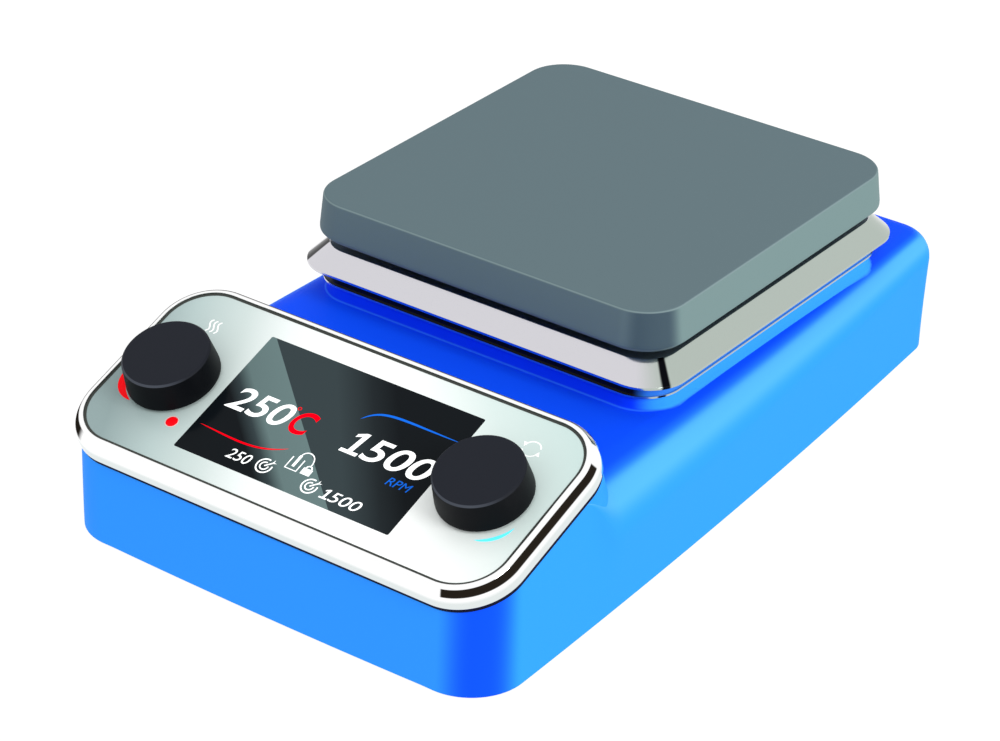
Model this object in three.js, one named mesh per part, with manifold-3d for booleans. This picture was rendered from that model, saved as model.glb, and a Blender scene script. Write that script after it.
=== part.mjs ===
// A heating magnetic stirrer with a square hot plate and a sloped control panel.
// Millimetres. X runs to the right, Y to the rear, Z up, and the feet stand on Z = 0.

import * as THREE from 'three';
import { mergeVertices } from 'three/addons/utils/BufferGeometryUtils.js';
import Module from 'manifold-3d';

const wasm = await Module();
wasm.setup();

// ---------------------------------------------------------------- driving sizes

const GAP = 0.3; // clearance between pieces that touch or sit in one another
const RIGHT_ANGLE = Math.PI / 2;

const plate = { side: 184, flare: 2.6, corner: 20, thickness: 19, topZ: 115, centreY: 49 };
plate.bottomZ = plate.topZ - plate.thickness;

const panel = { tilt: THREE.MathUtils.degToRad(20), centreY: -142, centreZ: 74.7 };
const fascia = { width: 215, height: 89.5, corner: 21.5, thickness: 3 };
const bezel = { width: 226, height: 101, corner: 26.5, depth: 8.6, lip: 0.8, facetDrop: 4, facetReach: 3.4 };
const opening = { width: 196, height: 80, corner: 14 }; // the hole in the housing under the panel

const body = {
  frontY: -186.6,
  rearY: 185,
  floorZ: 9,
  deckZ: 68,
  wall: 3,
  frontCorner: 25,
  rearCorner: 16,
  frontBowRadius: 3200,
  sideBowRadius: 4600,
  widestY: -223,
  widestHalf: 112.7,
};

// The console is the raised front of the housing that carries the panel. Its walls follow the bezel
// as far as the bezel's rear corners, and a crown with the bezel's own outline stands on from there.
const consoleTop = { gap: 2.1, rearY: -119, deckStartY: -90, overhang: 0.8, frontLean: -1.2 };
const crown = { depth: 16, rise: 0.15, inset: 1.2 };
const cavitySteps = 3; // facets along each stretch of the housing wall inside, and of the base plate
const sideDraft = 1.8; // how far the side walls lean out between the floor and the deck
const shoulder = { console: 0.8, front: 24, rear: 13 };

// The boss is the raised square of the housing under the plate.
const boss = {
  footHalf: 93.6,
  midHalf: 91.6,
  topHalf: 90.8,
  topZ: 74.2,
  bottomZ: 60,
  corner: 17,
  wall: 3,
  holeRadius: 50,
};

// ---------------------------------------------------------------- solid helpers

function toSolid(geometry) {
  const bare = geometry.clone();
  bare.deleteAttribute('normal');
  bare.deleteAttribute('uv');
  const merged = mergeVertices(bare, 1e-4);
  return new wasm.Manifold(new wasm.Mesh({
    numProp: 3,
    vertProperties: merged.attributes.position.array,
    triVerts: Uint32Array.from(merged.index.array),
  }));
}

function toGeometry(solid) {
  const mesh = solid.getMesh();
  const geometry = new THREE.BufferGeometry();
  geometry.setAttribute('position', new THREE.BufferAttribute(mesh.vertProperties, 3));
  geometry.setIndex(new THREE.BufferAttribute(mesh.triVerts, 1));
  geometry.computeVertexNormals();
  return geometry;
}

function cut(geometry, tools) {
  return toGeometry(tools.reduce((solid, tool) => solid.subtract(toSolid(tool)), toSolid(geometry)));
}

function join(geometry, extras) {
  return toGeometry(extras.reduce((solid, extra) => solid.add(toSolid(extra)), toSolid(geometry)));
}

// ---------------------------------------------------------------- shape helpers

function roundedRect(width, height, radius) {
  const x = width / 2 - radius;
  const y = height / 2 - radius;
  const shape = new THREE.Shape();
  shape.absarc(x, -y, radius, -RIGHT_ANGLE, 0);
  shape.absarc(x, y, radius, 0, RIGHT_ANGLE);
  shape.absarc(-x, y, radius, RIGHT_ANGLE, 2 * RIGHT_ANGLE);
  shape.absarc(-x, -y, radius, 2 * RIGHT_ANGLE, 3 * RIGHT_ANGLE);
  return shape;
}

function extrude(shape, bottom, top, curveSegments = 4) {
  const geometry = new THREE.ExtrudeGeometry(shape, {
    depth: top - bottom,
    bevelEnabled: false,
    curveSegments,
  });
  return geometry.translate(0, 0, bottom);
}

function slab(width, height, radius, bottom, top) {
  return extrude(roundedRect(width, height, radius), bottom, top);
}

function block(width, depth, bottom, top) {
  return new THREE.BoxGeometry(width, depth, top - bottom).translate(0, 0, (bottom + top) / 2);
}

function rod(radius, bottom, top, segments = 24) {
  const geometry = new THREE.CylinderGeometry(radius, radius, top - bottom, segments);
  return geometry.rotateX(RIGHT_ANGLE).translate(0, 0, (bottom + top) / 2);
}

// A turned solid. The profile lists [radius, height] from the axis at the bottom to the axis at the top.
function turned(profile, segments = 32) {
  const points = profile.map(([radius, height]) => new THREE.Vector2(radius, height));
  return new THREE.LatheGeometry(points, segments).rotateX(RIGHT_ANGLE);
}

// A skin over rings of points. Each ring lists its right half from front to rear, and the left half
// mirrors it. The two ends close with strips across from right to left.
function loft(rings) {
  const half = rings[0].length;
  const count = 2 * half;
  const positions = [];
  for (const ring of rings) {
    for (const point of ring) {
      positions.push(point.x, point.y, point.z);
    }
    for (const point of [...ring].reverse()) {
      positions.push(-point.x, point.y, point.z);
    }
  }
  const indices = [];
  for (let level = 0; level < rings.length - 1; level += 1) {
    for (let i = 0; i < count; i += 1) {
      const a = level * count + i;
      const b = level * count + (i + 1) % count;
      indices.push(a, b, b + count, a, b + count, a + count);
    }
  }
  const topStart = (rings.length - 1) * count;
  for (let i = 0; i < half - 1; i += 1) {
    const mirror = count - 1 - i;
    indices.push(i, mirror, mirror - 1, i, mirror - 1, i + 1);
    indices.push(topStart + i, topStart + i + 1, topStart + mirror - 1);
    indices.push(topStart + i, topStart + mirror - 1, topStart + mirror);
  }
  const geometry = new THREE.BufferGeometry();
  geometry.setAttribute('position', new THREE.Float32BufferAttribute(positions, 3));
  geometry.setIndex(indices);
  geometry.computeVertexNormals();
  return geometry;
}

// The right half of a rounded rectangle at one height, for loft().
function roundedRing(halfWidth, halfDepth, radius, z, centreY = 0, steps = 5) {
  const ring = [];
  for (const [direction, startAngle] of [[-1, -RIGHT_ANGLE], [1, 0]]) {
    for (let i = 0; i <= steps; i += 1) {
      const angle = startAngle + RIGHT_ANGLE * i / steps;
      ring.push(new THREE.Vector3(
        halfWidth - radius + radius * Math.cos(angle),
        centreY + direction * (halfDepth - radius) + radius * Math.sin(angle),
        z,
      ));
    }
  }
  return ring;
}

function squareLoft(centreY, sections) {
  return loft(sections.map(({ half, corner, z }) => roundedRing(half, half, corner, z, centreY)));
}

// ---------------------------------------------------------------- housing form

function halfWidthAt(y) {
  return body.widestHalf - (y - body.widestY) ** 2 / (2 * body.sideBowRadius);
}

function sideNormalAt(y) {
  return Math.atan((y - body.widestY) / body.sideBowRadius);
}

function outlinePoint(x, y, angle) {
  return { x, y, nx: Math.cos(angle), ny: Math.sin(angle) };
}

function cornerArc(x, y, radius, fromAngle, toAngle, steps) {
  const points = [];
  for (let i = 0; i <= steps; i += 1) {
    const angle = fromAngle + (toAngle - fromAngle) * i / steps;
    points.push(outlinePoint(x + radius * Math.cos(angle), y + radius * Math.sin(angle), angle));
  }
  return points;
}

// The right half of the housing's plan, from the front to the rear, with outward normals.
function planOutline(steps = 5) {
  const points = [];
  const frontArcY = body.frontY + body.frontCorner + 1;
  const frontArcX = halfWidthAt(frontArcY) - body.frontCorner;
  const frontAngle = -RIGHT_ANGLE + frontArcX / body.frontBowRadius;
  const rearArcY = body.rearY - body.rearCorner;
  const rearArcX = halfWidthAt(rearArcY) - body.rearCorner;
  for (const part of [0.3, 0.7]) {
    const x = frontArcX * part;
    points.push(outlinePoint(x, body.frontY + x ** 2 / (2 * body.frontBowRadius), -RIGHT_ANGLE));
  }
  points.push(...cornerArc(
    frontArcX, frontArcY, body.frontCorner, frontAngle, sideNormalAt(frontArcY), steps + 1,
  ));
  const stations = [frontArcY, consoleTop.rearY, consoleTop.deckStartY, rearArcY];
  for (let leg = 0; leg < stations.length - 1; leg += 1) {
    const length = stations[leg + 1] - stations[leg];
    for (let i = 1; i <= steps; i += 1) {
      const y = stations[leg] + length * i / steps;
      points.push(outlinePoint(halfWidthAt(y), y, sideNormalAt(y)));
    }
  }
  points.pop();
  points.push(...cornerArc(
    rearArcX, rearArcY, body.rearCorner, sideNormalAt(rearArcY), RIGHT_ANGLE, steps,
  ));
  points.push(outlinePoint(rearArcX * 0.5, body.rearY, RIGHT_ANGLE));
  return points;
}

// The height of the panel's plane, measured `offset` below the fascia's face.
function panelPlaneZ(y, offset) {
  return panel.centreZ + (y - panel.centreY) * Math.tan(panel.tilt) - offset / Math.cos(panel.tilt);
}

function topZAt(y) {
  const { gap, rearY, deckStartY } = consoleTop;
  if (y <= rearY) {
    return panelPlaneZ(y, bezel.depth + gap);
  }
  if (y >= deckStartY) {
    return body.deckZ;
  }
  const run = deckStartY - rearY;
  const rise = panelPlaneZ(rearY, bezel.depth + gap) - body.deckZ;
  const radius = (run ** 2 + rise ** 2) / (2 * rise);
  return body.deckZ + radius - Math.sqrt(radius ** 2 - (deckStartY - y) ** 2);
}

function smooth(from, to, value) {
  return THREE.MathUtils.smoothstep(value, from, to);
}

function shoulderAt(y) {
  const onDeck = smooth(consoleTop.rearY, consoleTop.deckStartY, y);
  const along = THREE.MathUtils.clamp(
    (y - consoleTop.deckStartY) / (body.rearY - consoleTop.deckStartY), 0, 1,
  );
  const deckShoulder = THREE.MathUtils.lerp(shoulder.front, shoulder.rear, along);
  return THREE.MathUtils.lerp(shoulder.console, deckShoulder, onDeck);
}

// How far the wall leans out at its top, so that the console follows the bezel.
function flareAt(point) {
  const onConsole = 1 - smooth(consoleTop.rearY, consoleTop.deckStartY, point.y);
  const target = bezel.width / 2 - consoleTop.overhang - halfWidthAt(point.y);
  const sideFlare = THREE.MathUtils.lerp(sideDraft, target, onConsole);
  const frontFlare = point.ny < 0 ? consoleTop.frontLean : 0;
  return sideFlare * point.nx ** 2 + frontFlare * point.ny ** 2;
}

function housingRing(outline, inset, wallPart, shoulderAngle, bottomZ) {
  return outline.map((point) => {
    const radius = Math.max(shoulderAt(point.y) - inset, 0.5);
    const lean = flareAt(point) * wallPart ** 1.5;
    const shift = lean - inset - radius * (1 - Math.cos(shoulderAngle));
    const x = point.x + point.nx * shift;
    const y = point.y + point.ny * shift;
    const top = topZAt(y) - inset;
    const springZ = top - radius;
    const z = bottomZ + (springZ - bottomZ) * wallPart + radius * Math.sin(shoulderAngle);
    return new THREE.Vector3(x, y, z);
  });
}

function housingLoft(inset, bottomZ, steps) {
  const outline = planOutline(steps);
  const rings = [0, 0.4, 0.75, 1].map((part) => housingRing(outline, inset, part, 0, bottomZ));
  for (let i = 1; i <= steps; i += 1) {
    rings.push(housingRing(outline, inset, 1, RIGHT_ANGLE * i / steps, bottomZ));
  }
  return loft(rings);
}

// ---------------------------------------------------------------- materials

function material(color, roughness, metalness) {
  return new THREE.MeshStandardMaterial({ color, roughness, metalness });
}

const blueCoat = material(0x1f6ff0, 0.45, 0);
const chrome = material(0xd9dcdc, 0.08, 1);
const frostedGlass = material(0xc8d4cf, 0.12, 0);
const blackScreen = material(0x0b0d10, 0.1, 0);
const blackSatin = material(0x15161b, 0.45, 0);
const ceramicCoat = material(0x66777b, 0.6, 0);
const polishedSteel = material(0xc9c6bf, 0.15, 1);
const zincSteel = material(0x9aa0a3, 0.4, 1);
const rubber = material(0x1a1a1a, 0.9, 0);
const boardGreen = material(0x1d5a35, 0.5, 0);
const blackPlastic = material(0x101114, 0.5, 0);
const castAluminium = material(0xa7abad, 0.5, 1);
const mineralWool = material(0xd8d2c2, 0.95, 0);
const ceramic = material(0xe9e5da, 0.5, 0);
const nickel = material(0xb8b9b6, 0.25, 1);
const redLens = material(0xe01020, 0.2, 0);
const cyanLens = material(0x30d8f0, 0.2, 0);
const brass = material(0xb5924a, 0.3, 1);
const coilCopper = material(0x9c5a32, 0.4, 1);

const unit = new THREE.Group();

function add(parent, name, geometry, look, x = 0, y = 0, z = 0) {
  const mesh = new THREE.Mesh(geometry, look);
  mesh.name = name;
  mesh.position.set(x, y, z);
  parent.add(mesh);
  return mesh;
}

// ---------------------------------------------------------------- housing, base and feet

const base = { bottomZ: body.floorZ + 1, thickness: 1.5, slotLength: 60, slotWidth: 4, slotPitch: 9 };
base.topZ = base.bottomZ + base.thickness;

const screwPost = { radius: 5, bore: 1.8, frontX: 101, frontY: -148, frontTopZ: 42, rearX: 72, rearY: 164 };
screwPost.bottomZ = base.topZ + 0.5;
const screw = { head: 3.5, stem: 1.5, headBottomZ: base.bottomZ - 2.2, topZ: base.topZ + 10.5 };
const foot = { radius: 9, stem: 3, x: 78, frontY: -158, rearX: 70, rearY: 144 };

const inlet = { x: -48, z: 37, width: 30, height: 40, corner: 3 };
const rocker = { x: 48, z: 37, width: 22, height: 28, corner: 2 };
const rodSocket = { x: 0, z: 47, radius: 9, bore: 5, length: 28 };
const probeSocket = { x: 0, z: 23, radius: 6.5, bore: 4.5, length: 14 };
const standoff = { reach: 62, radius: 4 };

function screwPostPlaces() {
  return [
    ['front_left', -screwPost.frontX, screwPost.frontY],
    ['front_right', screwPost.frontX, screwPost.frontY],
    ['rear_left', -screwPost.rearX, screwPost.rearY],
    ['rear_right', screwPost.rearX, screwPost.rearY],
  ];
}

function footPlaces() {
  return [
    ['front_left', -foot.x, foot.frontY],
    ['front_right', foot.x, foot.frontY],
    ['rear_left', -foot.rearX, foot.rearY],
    ['rear_right', foot.rearX, foot.rearY],
  ];
}

function bossLoft(shrink, bottomZ, topZ) {
  const corner = boss.corner - shrink;
  return squareLoft(plate.centreY, [
    { half: boss.footHalf - shrink, corner: corner + 3, z: bottomZ },
    { half: boss.footHalf - shrink, corner: corner + 3, z: body.deckZ + 0.5 },
    { half: boss.midHalf - shrink, corner: corner + 1, z: body.deckZ + 2.5 },
    { half: boss.topHalf - shrink, corner, z: topZ - 1 },
    { half: boss.topHalf - 1 - shrink, corner: corner - 1, z: topZ },
  ]);
}

// Lays a solid drawn in the panel's frame on the slope of the console.
function panelTool(geometry) {
  return geometry.rotateX(panel.tilt).translate(0, panel.centreY, panel.centreZ);
}

function crownSolid() {
  const top = crown.rise - bezel.depth - consoleTop.gap;
  const { inset } = crown;
  return panelTool(slab(
    bezel.width - 2 * inset, bezel.height - 2 * inset, bezel.corner - inset, top - crown.depth, top,
  ));
}

// Lays a solid drawn along Z down, so that its height runs along +Y and its own +Y points down.
function laidBack(geometry) {
  return geometry.rotateX(-RIGHT_ANGLE);
}

// The cut for a rear connection, right through the rear wall.
function wallCut(geometryBetween, place) {
  return laidBack(geometryBetween(body.rearY - 12, body.rearY + 2)).translate(place.x, 0, place.z);
}

function housing() {
  const posts = screwPostPlaces().map(([, x, y]) => {
    const top = y < consoleTop.rearY ? screwPost.frontTopZ : body.deckZ - 1;
    return rod(screwPost.radius, screwPost.bottomZ, top).translate(x, y, 0);
  });
  const ribs = [-1, 1].map((side) => (
    block(9, 3, screwPost.bottomZ, screwPost.frontTopZ)
      .translate(side * (screwPost.frontX + 5), screwPost.frontY, 0)
  ));
  const outer = join(housingLoft(0, body.floorZ, 4), [
    crownSolid(),
    bossLoft(0, boss.bottomZ, boss.topZ),
  ]);
  const hollow = cut(outer, [
    housingLoft(body.wall, body.floorZ - 1, cavitySteps),
    bossLoft(boss.wall, boss.bottomZ - 4, boss.topZ - boss.wall),
  ]);
  return cut(join(hollow, [...posts, ...ribs]), [
    panelTool(slab(opening.width, opening.height, opening.corner, -30, 0)),
    rod(boss.holeRadius, boss.bottomZ, boss.topZ + 5, 48).translate(0, plate.centreY, 0),
    ...screwPostPlaces().map(([, x, y]) => rod(screwPost.bore, 0, screw.topZ + 4, 16).translate(x, y, 0)),
    wallCut((from, to) => slab(inlet.width - 4, inlet.height - 4, 1, from, to), inlet),
    wallCut((from, to) => slab(rocker.width - 3, rocker.height - 3, 1, from, to), rocker),
    wallCut((from, to) => rod(rodSocket.radius - 2 + GAP, from, to), rodSocket),
    wallCut((from, to) => rod(probeSocket.radius + GAP, from, to), probeSocket),
  ]);
}

function basePlate() {
  const outline = planOutline(cavitySteps);
  const inset = body.wall + 2 * GAP;
  const rings = [base.bottomZ, base.topZ].map((z) => outline.map((point) => new THREE.Vector3(
    point.x - point.nx * inset,
    point.y - point.ny * inset,
    z,
  )));
  const from = base.bottomZ - 1;
  const to = base.topZ + 1;
  const slots = [-2, -1, 0, 1, 2].map((step) => (
    slab(base.slotLength, base.slotWidth, base.slotWidth / 2, from, to)
      .translate(0, -60 + step * base.slotPitch, 0)
  ));
  const hole = (radius, [, x, y]) => rod(radius, from, to, 16).translate(x, y, 0);
  const screwHoles = screwPostPlaces().map((place) => hole(screwPost.bore, place));
  const footHoles = footPlaces().map((place) => hole(foot.stem + GAP, place));
  return cut(loft(rings), [...slots, ...screwHoles, ...footHoles]);
}

// A rubber foot with a stem that presses up through the base plate.
function rubberFoot() {
  const seat = base.bottomZ - GAP;
  const top = base.topZ + 1.5;
  return turned([
    [0, 0], [foot.radius - 1, 0], [foot.radius, 1], [foot.radius, seat],
    [foot.stem, seat], [foot.stem, top], [0, top],
  ], 20);
}

function baseScrew() {
  const { head, stem, headBottomZ, topZ } = screw;
  const seat = base.bottomZ - GAP;
  return turned([
    [0, headBottomZ], [head - 0.3, headBottomZ], [head, headBottomZ + 0.4], [head, seat],
    [stem, seat], [stem, topZ], [0, topZ],
  ], 12);
}

add(unit, 'housing', housing(), blueCoat);
add(unit, 'base_plate', basePlate(), zincSteel);
for (const [corner, x, y] of footPlaces()) {
  add(unit, `foot_${corner}`, rubberFoot(), rubber, x, y);
}
for (const [corner, x, y] of screwPostPlaces()) {
  add(unit, `base_screw_${corner}`, baseScrew(), zincSteel, x, y);
}

// ---------------------------------------------------------------- hot plate stack

// The shield is a double skirt: a slope outside, and inside it a collar that reaches down to the boss.
const shield = { topZ: 91.8, rimZ: 82.2, topHalf: 91.3, rimHalf: 98.2, sheet: 1.2, corner: 19, opening: 68 };
const collar = { half: 92, flange: 0.9, bottomZ: boss.topZ + GAP, flangeThickness: 0.8, topZ: 89.4 };
const element = { radius: 64, bore: 14, bottomZ: 90.5, topZ: plate.bottomZ - GAP };
const wool = { radius: 64, bore: 8, bottomZ: 85, topZ: element.bottomZ - GAP };
const probe = { radius: 2.5, x: 0, y: 24 };

const stack = new THREE.Group();
stack.position.set(0, plate.centreY, 0);
unit.add(stack);

function hotPlate() {
  const half = plate.side / 2;
  return squareLoft(0, [
    { half: half, corner: plate.corner - 1, z: plate.bottomZ },
    { half: half + plate.flare, corner: plate.corner + 1, z: plate.bottomZ + 2.4 },
    { half: half + plate.flare, corner: plate.corner + 1, z: plate.bottomZ + 4 },
    { half: half + 1, corner: plate.corner, z: plate.topZ - 1 },
    { half: half, corner: plate.corner - 1, z: plate.topZ },
  ]);
}

function heatShield() {
  const { topZ, rimZ, topHalf, rimHalf, sheet, corner, opening: hole } = shield;
  const { half, flange, bottomZ, flangeThickness } = collar;
  const slope = squareLoft(0, [
    { half: rimHalf, corner, z: rimZ },
    { half: rimHalf, corner, z: rimZ + sheet },
    { half: topHalf, corner: corner - 2, z: topZ - sheet },
    { half: topHalf - sheet, corner: corner - 3, z: topZ },
  ]);
  const under = squareLoft(0, [
    { half: rimHalf - sheet, corner: corner - sheet, z: rimZ - 1 },
    { half: rimHalf - sheet, corner: corner - sheet, z: rimZ + sheet },
    { half: topHalf - sheet, corner: corner - 3, z: topZ - sheet },
  ]);
  const collarSheet = cut(slab(2 * half, 2 * half, corner - 2, bottomZ, collar.topZ), [
    slab(2 * (half - sheet), 2 * (half - sheet), corner - 3, bottomZ - 1, collar.topZ + 1),
  ]);
  const foldedEdge = cut(
    slab(2 * (half + flange), 2 * (half + flange), corner - 1, bottomZ, bottomZ + flangeThickness),
    [slab(2 * half - 1, 2 * half - 1, corner - 2, bottomZ - 1, bottomZ + 2)],
  );
  const skirt = join(cut(slope, [under]), [collarSheet, foldedEdge]);
  const holes = standoffPlaces().map(([x, y]) => (
    rod(standoff.radius + GAP, topZ - 5, topZ + 5, 20).translate(x, y, 0)
  ));
  return cut(skirt, [rod(hole, topZ - 5, topZ + 5, 48), ...holes]);
}

function standoffPlaces() {
  const { reach } = standoff;
  return [[-reach, -reach], [reach, -reach], [-reach, reach], [reach, reach]];
}

function ring(outer, inner, bottom, top, segments = 40) {
  return turned([[inner, bottom], [outer, bottom], [outer, top], [inner, top], [inner, bottom]], segments);
}

add(stack, 'hot_plate', hotPlate(), ceramicCoat);
add(stack, 'heat_shield', heatShield(), polishedSteel);
add(stack, 'heating_element', cut(
  ring(element.radius, element.bore, element.bottomZ, element.topZ),
  [rod(probe.radius + GAP, 80, 100, 16).translate(probe.x, probe.y, 0)],
), castAluminium);
add(stack, 'insulation_ring', cut(
  ring(wool.radius, wool.bore, wool.bottomZ, wool.topZ),
  [rod(probe.radius + GAP, 80, 100, 16).translate(probe.x, probe.y, 0)],
), mineralWool);
add(stack, 'temperature_sensor', rod(probe.radius, wool.bottomZ, element.topZ, 16), nickel, probe.x, probe.y);
standoffPlaces().forEach(([x, y], index) => {
  const geometry = rod(standoff.radius, boss.topZ + GAP, plate.bottomZ - GAP, 20);
  add(stack, `plate_standoff_${index + 1}`, geometry, ceramic, x, y);
});

// ---------------------------------------------------------------- stirring drive

const drive = {
  bodyRadius: 28, bodyBottomZ: 14, bracketZ: 50, bracketSide: 104, sheet: 2, pillarReach: 42,
  pillarRadius: 4, shaftRadius: 3, shaftBottomZ: 30, shaftTopZ: 76,
};
const holder = { radius: 42, bottomZ: 70, topZ: 80, bore: drive.shaftRadius + GAP };
const magnet = { length: 22, width: 14, bottomZ: 73, topZ: 81.5, offset: 26 };

function driveMotor() {
  const top = drive.bracketZ - GAP;
  const profile = [
    [0, drive.bodyBottomZ], [drive.bodyRadius - 2, drive.bodyBottomZ],
    [drive.bodyRadius, drive.bodyBottomZ + 2], [drive.bodyRadius, top], [0, top],
  ];
  return cut(turned(profile, 40), [rod(drive.shaftRadius + GAP, drive.shaftBottomZ - 2, top + 1, 20)]);
}

function motorBracket() {
  const { bracketSide, bracketZ, sheet, pillarRadius } = drive;
  const plateShape = slab(bracketSide, bracketSide, 6, bracketZ, bracketZ + sheet);
  const screwHoles = pillarPlaces().map(([x, y]) => rod(1.6, 40, 90, 12).translate(x, y, 0));
  const pillars = pillarPlaces().map(([x, y]) => (
    rod(pillarRadius, bracketZ + 0.5, boss.topZ - boss.wall - GAP, 16).translate(x, y, 0)
  ));
  return cut(join(plateShape, pillars), [rod(8, 40, 60, 24), ...screwHoles]);
}

function pillarPlaces() {
  const reach = drive.pillarReach;
  return [[-reach, -reach], [reach, -reach], [-reach, reach], [reach, reach]];
}

function magnetHolder() {
  const pockets = [-1, 1].map((side) => (
    block(magnet.width + 2 * GAP, magnet.length + 2 * GAP, magnet.bottomZ - GAP, holder.topZ + 1)
      .translate(side * magnet.offset, 0, 0)
  ));
  return cut(rod(holder.radius, holder.bottomZ, holder.topZ, 40), [
    rod(holder.bore, holder.bottomZ - 1, drive.shaftTopZ + GAP, 20),
    ...pockets,
  ]);
}

add(stack, 'drive_motor', driveMotor(), blackSatin);
add(stack, 'motor_bracket', motorBracket(), zincSteel);
add(stack, 'motor_shaft', rod(drive.shaftRadius, drive.shaftBottomZ, drive.shaftTopZ, 20), nickel);
add(stack, 'magnet_holder', magnetHolder(), castAluminium);
for (const [name, side] of [['left', -1], ['right', 1]]) {
  const bar = block(magnet.width, magnet.length, magnet.bottomZ, magnet.topZ);
  add(stack, `magnet_${name}`, bar, nickel, side * magnet.offset);
}

// ---------------------------------------------------------------- control panel

const face = new THREE.Group();
face.position.set(0, panel.centreY, panel.centreZ);
face.rotation.x = panel.tilt;
unit.add(face);

const display = { width: 116, height: 72, depth: 5 };
const control = {
  baseRadius: 20.4, topRadius: 19.2, bottomZ: 1.4, topZ: 14.9, wall: 2.4, hub: 6,
  shaft: 3, shaftBottomZ: -6, shaftTopZ: 11, bushing: 4.4, bodySide: 14,
};
const controls = [
  { name: 'heat', x: -80.3, y: -3.6, glow: redLens, glowAngle: 210 },
  { name: 'speed', x: 79.5, y: 0.3, glow: cyanLens, glowAngle: 312 },
];
const plunger = { radius: 2.6, bottomZ: control.shaftBottomZ - GAP - 1, thickness: 1, travel: 0.8 };
const indicator = { x: -65.2, y: -24, radius: 2.6, depth: 8 };
const arcGuide = { inner: 21.7, outer: 25.2, span: THREE.MathUtils.degToRad(56), depth: 1.6 };
const board = { width: 190, height: 70, topZ: -10, thickness: 1.6 };
const behindGlass = -fascia.thickness - GAP;

function bezelRing() {
  const w = bezel.width / 2;
  const h = bezel.height / 2;
  const { corner, depth, lip, facetDrop, facetReach } = bezel;
  const outer = loft([
    roundedRing(w, h, corner, -depth),
    roundedRing(w, h, corner, -facetDrop),
    roundedRing(w - facetReach, h - facetReach, corner - facetReach, lip),
  ]);
  const seat = slab(
    fascia.width + 2 * GAP, fascia.height + 2 * GAP, fascia.corner + GAP, -fascia.thickness - GAP, 3,
  );
  return cut(outer, [seat, slab(fascia.width - 4, fascia.height - 4, fascia.corner - 2, -depth - 1, 0)]);
}

function fasciaGlass() {
  const holes = controls.map(({ x, y }) => rod(control.bushing + GAP, -5, 2, 20).translate(x, y, 0));
  const lensHole = rod(indicator.radius + GAP, -5, 2, 16).translate(indicator.x, indicator.y, 0);
  return cut(slab(fascia.width, fascia.height, fascia.corner, -fascia.thickness, 0), [...holes, lensHole]);
}

function knob() {
  const { baseRadius, topRadius, bottomZ, topZ, wall, hub, shaft, shaftTopZ } = control;
  const skirt = topZ - 4;
  return turned([
    [0, shaftTopZ + GAP], [shaft + GAP, shaftTopZ + GAP], [shaft + GAP, bottomZ + 3.4], [hub, bottomZ + 3.4],
    [hub, skirt], [baseRadius - wall, skirt], [baseRadius - wall, bottomZ], [baseRadius, bottomZ],
    [baseRadius, bottomZ + 1.5], [topRadius, topZ - 0.9], [topRadius - 0.9, topZ], [0, topZ],
  ], 32);
}

function encoderBody() {
  const { bushing, bodySide, shaft } = control;
  const can = block(bodySide, bodySide, board.topZ + GAP, behindGlass);
  const neck = rod(bushing, behindGlass - 1, 1, 20);
  return cut(join(can, [neck]), [rod(shaft + GAP, plunger.bottomZ - plunger.travel - 2 * GAP, 3, 20)]);
}

// A crescent of light round the lower outer side of a knob.
function lightGuide(centreAngle) {
  const { inner, outer, span, depth } = arcGuide;
  const shape = new THREE.Shape();
  shape.absarc(0, 0, outer, centreAngle - span / 2, centreAngle + span / 2);
  shape.absarc(0, 0, inner, centreAngle + span / 2, centreAngle - span / 2, true);
  return extrude(shape, behindGlass - depth, behindGlass, 10);
}

function indicatorLens() {
  const { radius, depth } = indicator;
  return turned([[0, -depth], [radius, -depth], [radius, 0.2], [radius * 0.6, 0.8], [0, 1]], 16);
}

const displayBox = block(display.width, display.height, behindGlass - display.depth, behindGlass);
const boardSheet = slab(board.width, board.height, 4, board.topZ - board.thickness, board.topZ);
add(face, 'panel_bezel', bezelRing(), chrome);
add(face, 'panel_fascia', fasciaGlass(), frostedGlass);
add(face, 'display_module', displayBox, blackScreen);
add(face, 'control_board', boardSheet, boardGreen);
add(face, 'hot_indicator', indicatorLens(), redLens, indicator.x, indicator.y);

for (const { name, x, y, glow, glowAngle } of controls) {
  const button = rod(plunger.radius, plunger.bottomZ, plunger.bottomZ + plunger.thickness, 16);
  const shaft = rod(control.shaft, control.shaftBottomZ, control.shaftTopZ, 20);
  const guide = lightGuide(THREE.MathUtils.degToRad(glowAngle));
  add(face, `${name}_encoder`, encoderBody(), zincSteel, x, y);
  add(face, `${name}_plunger`, button, brass, x, y);
  add(face, `${name}_shaft`, shaft, nickel, x, y);
  add(face, `${name}_knob`, knob(), blackSatin, x, y);
  add(face, `${name}_light_guide`, guide, glow, x, y);
}

// ---------------------------------------------------------------- boards and power

const boardDeck = { z: 19, thickness: 1.6, centreY: -94, width: 150, depth: 92, edge: 8 };
boardDeck.topZ = boardDeck.z + boardDeck.thickness;
const spacer = { radius: 3.2, bottomZ: base.topZ + GAP };
const transformer = { x: -40, width: 48, depth: 40, height: 26 };
const relay = { x: 6, width: 20, depth: 28, height: 18 };
const heatSink = { x: 46, width: 44, depth: 50, height: 22, baseHeight: 4, fin: 2, pitch: 9 };

function boardCorners() {
  const x = boardDeck.width / 2 - boardDeck.edge;
  const y = boardDeck.depth / 2 - boardDeck.edge;
  return [[-x, -y], [x, -y], [-x, y], [x, y]].map(([cx, cy]) => [cx, cy + boardDeck.centreY]);
}

function finnedSink() {
  const { width, depth, height, baseHeight, fin, pitch } = heatSink;
  const slabBelow = block(width, depth, boardDeck.topZ + GAP, boardDeck.topZ + baseHeight);
  const fins = [-2, -1, 0, 1, 2].map((step) => (
    block(fin, depth, boardDeck.topZ + baseHeight - 1, boardDeck.topZ + height).translate(step * pitch, 0, 0)
  ));
  return join(slabBelow, fins);
}

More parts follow.
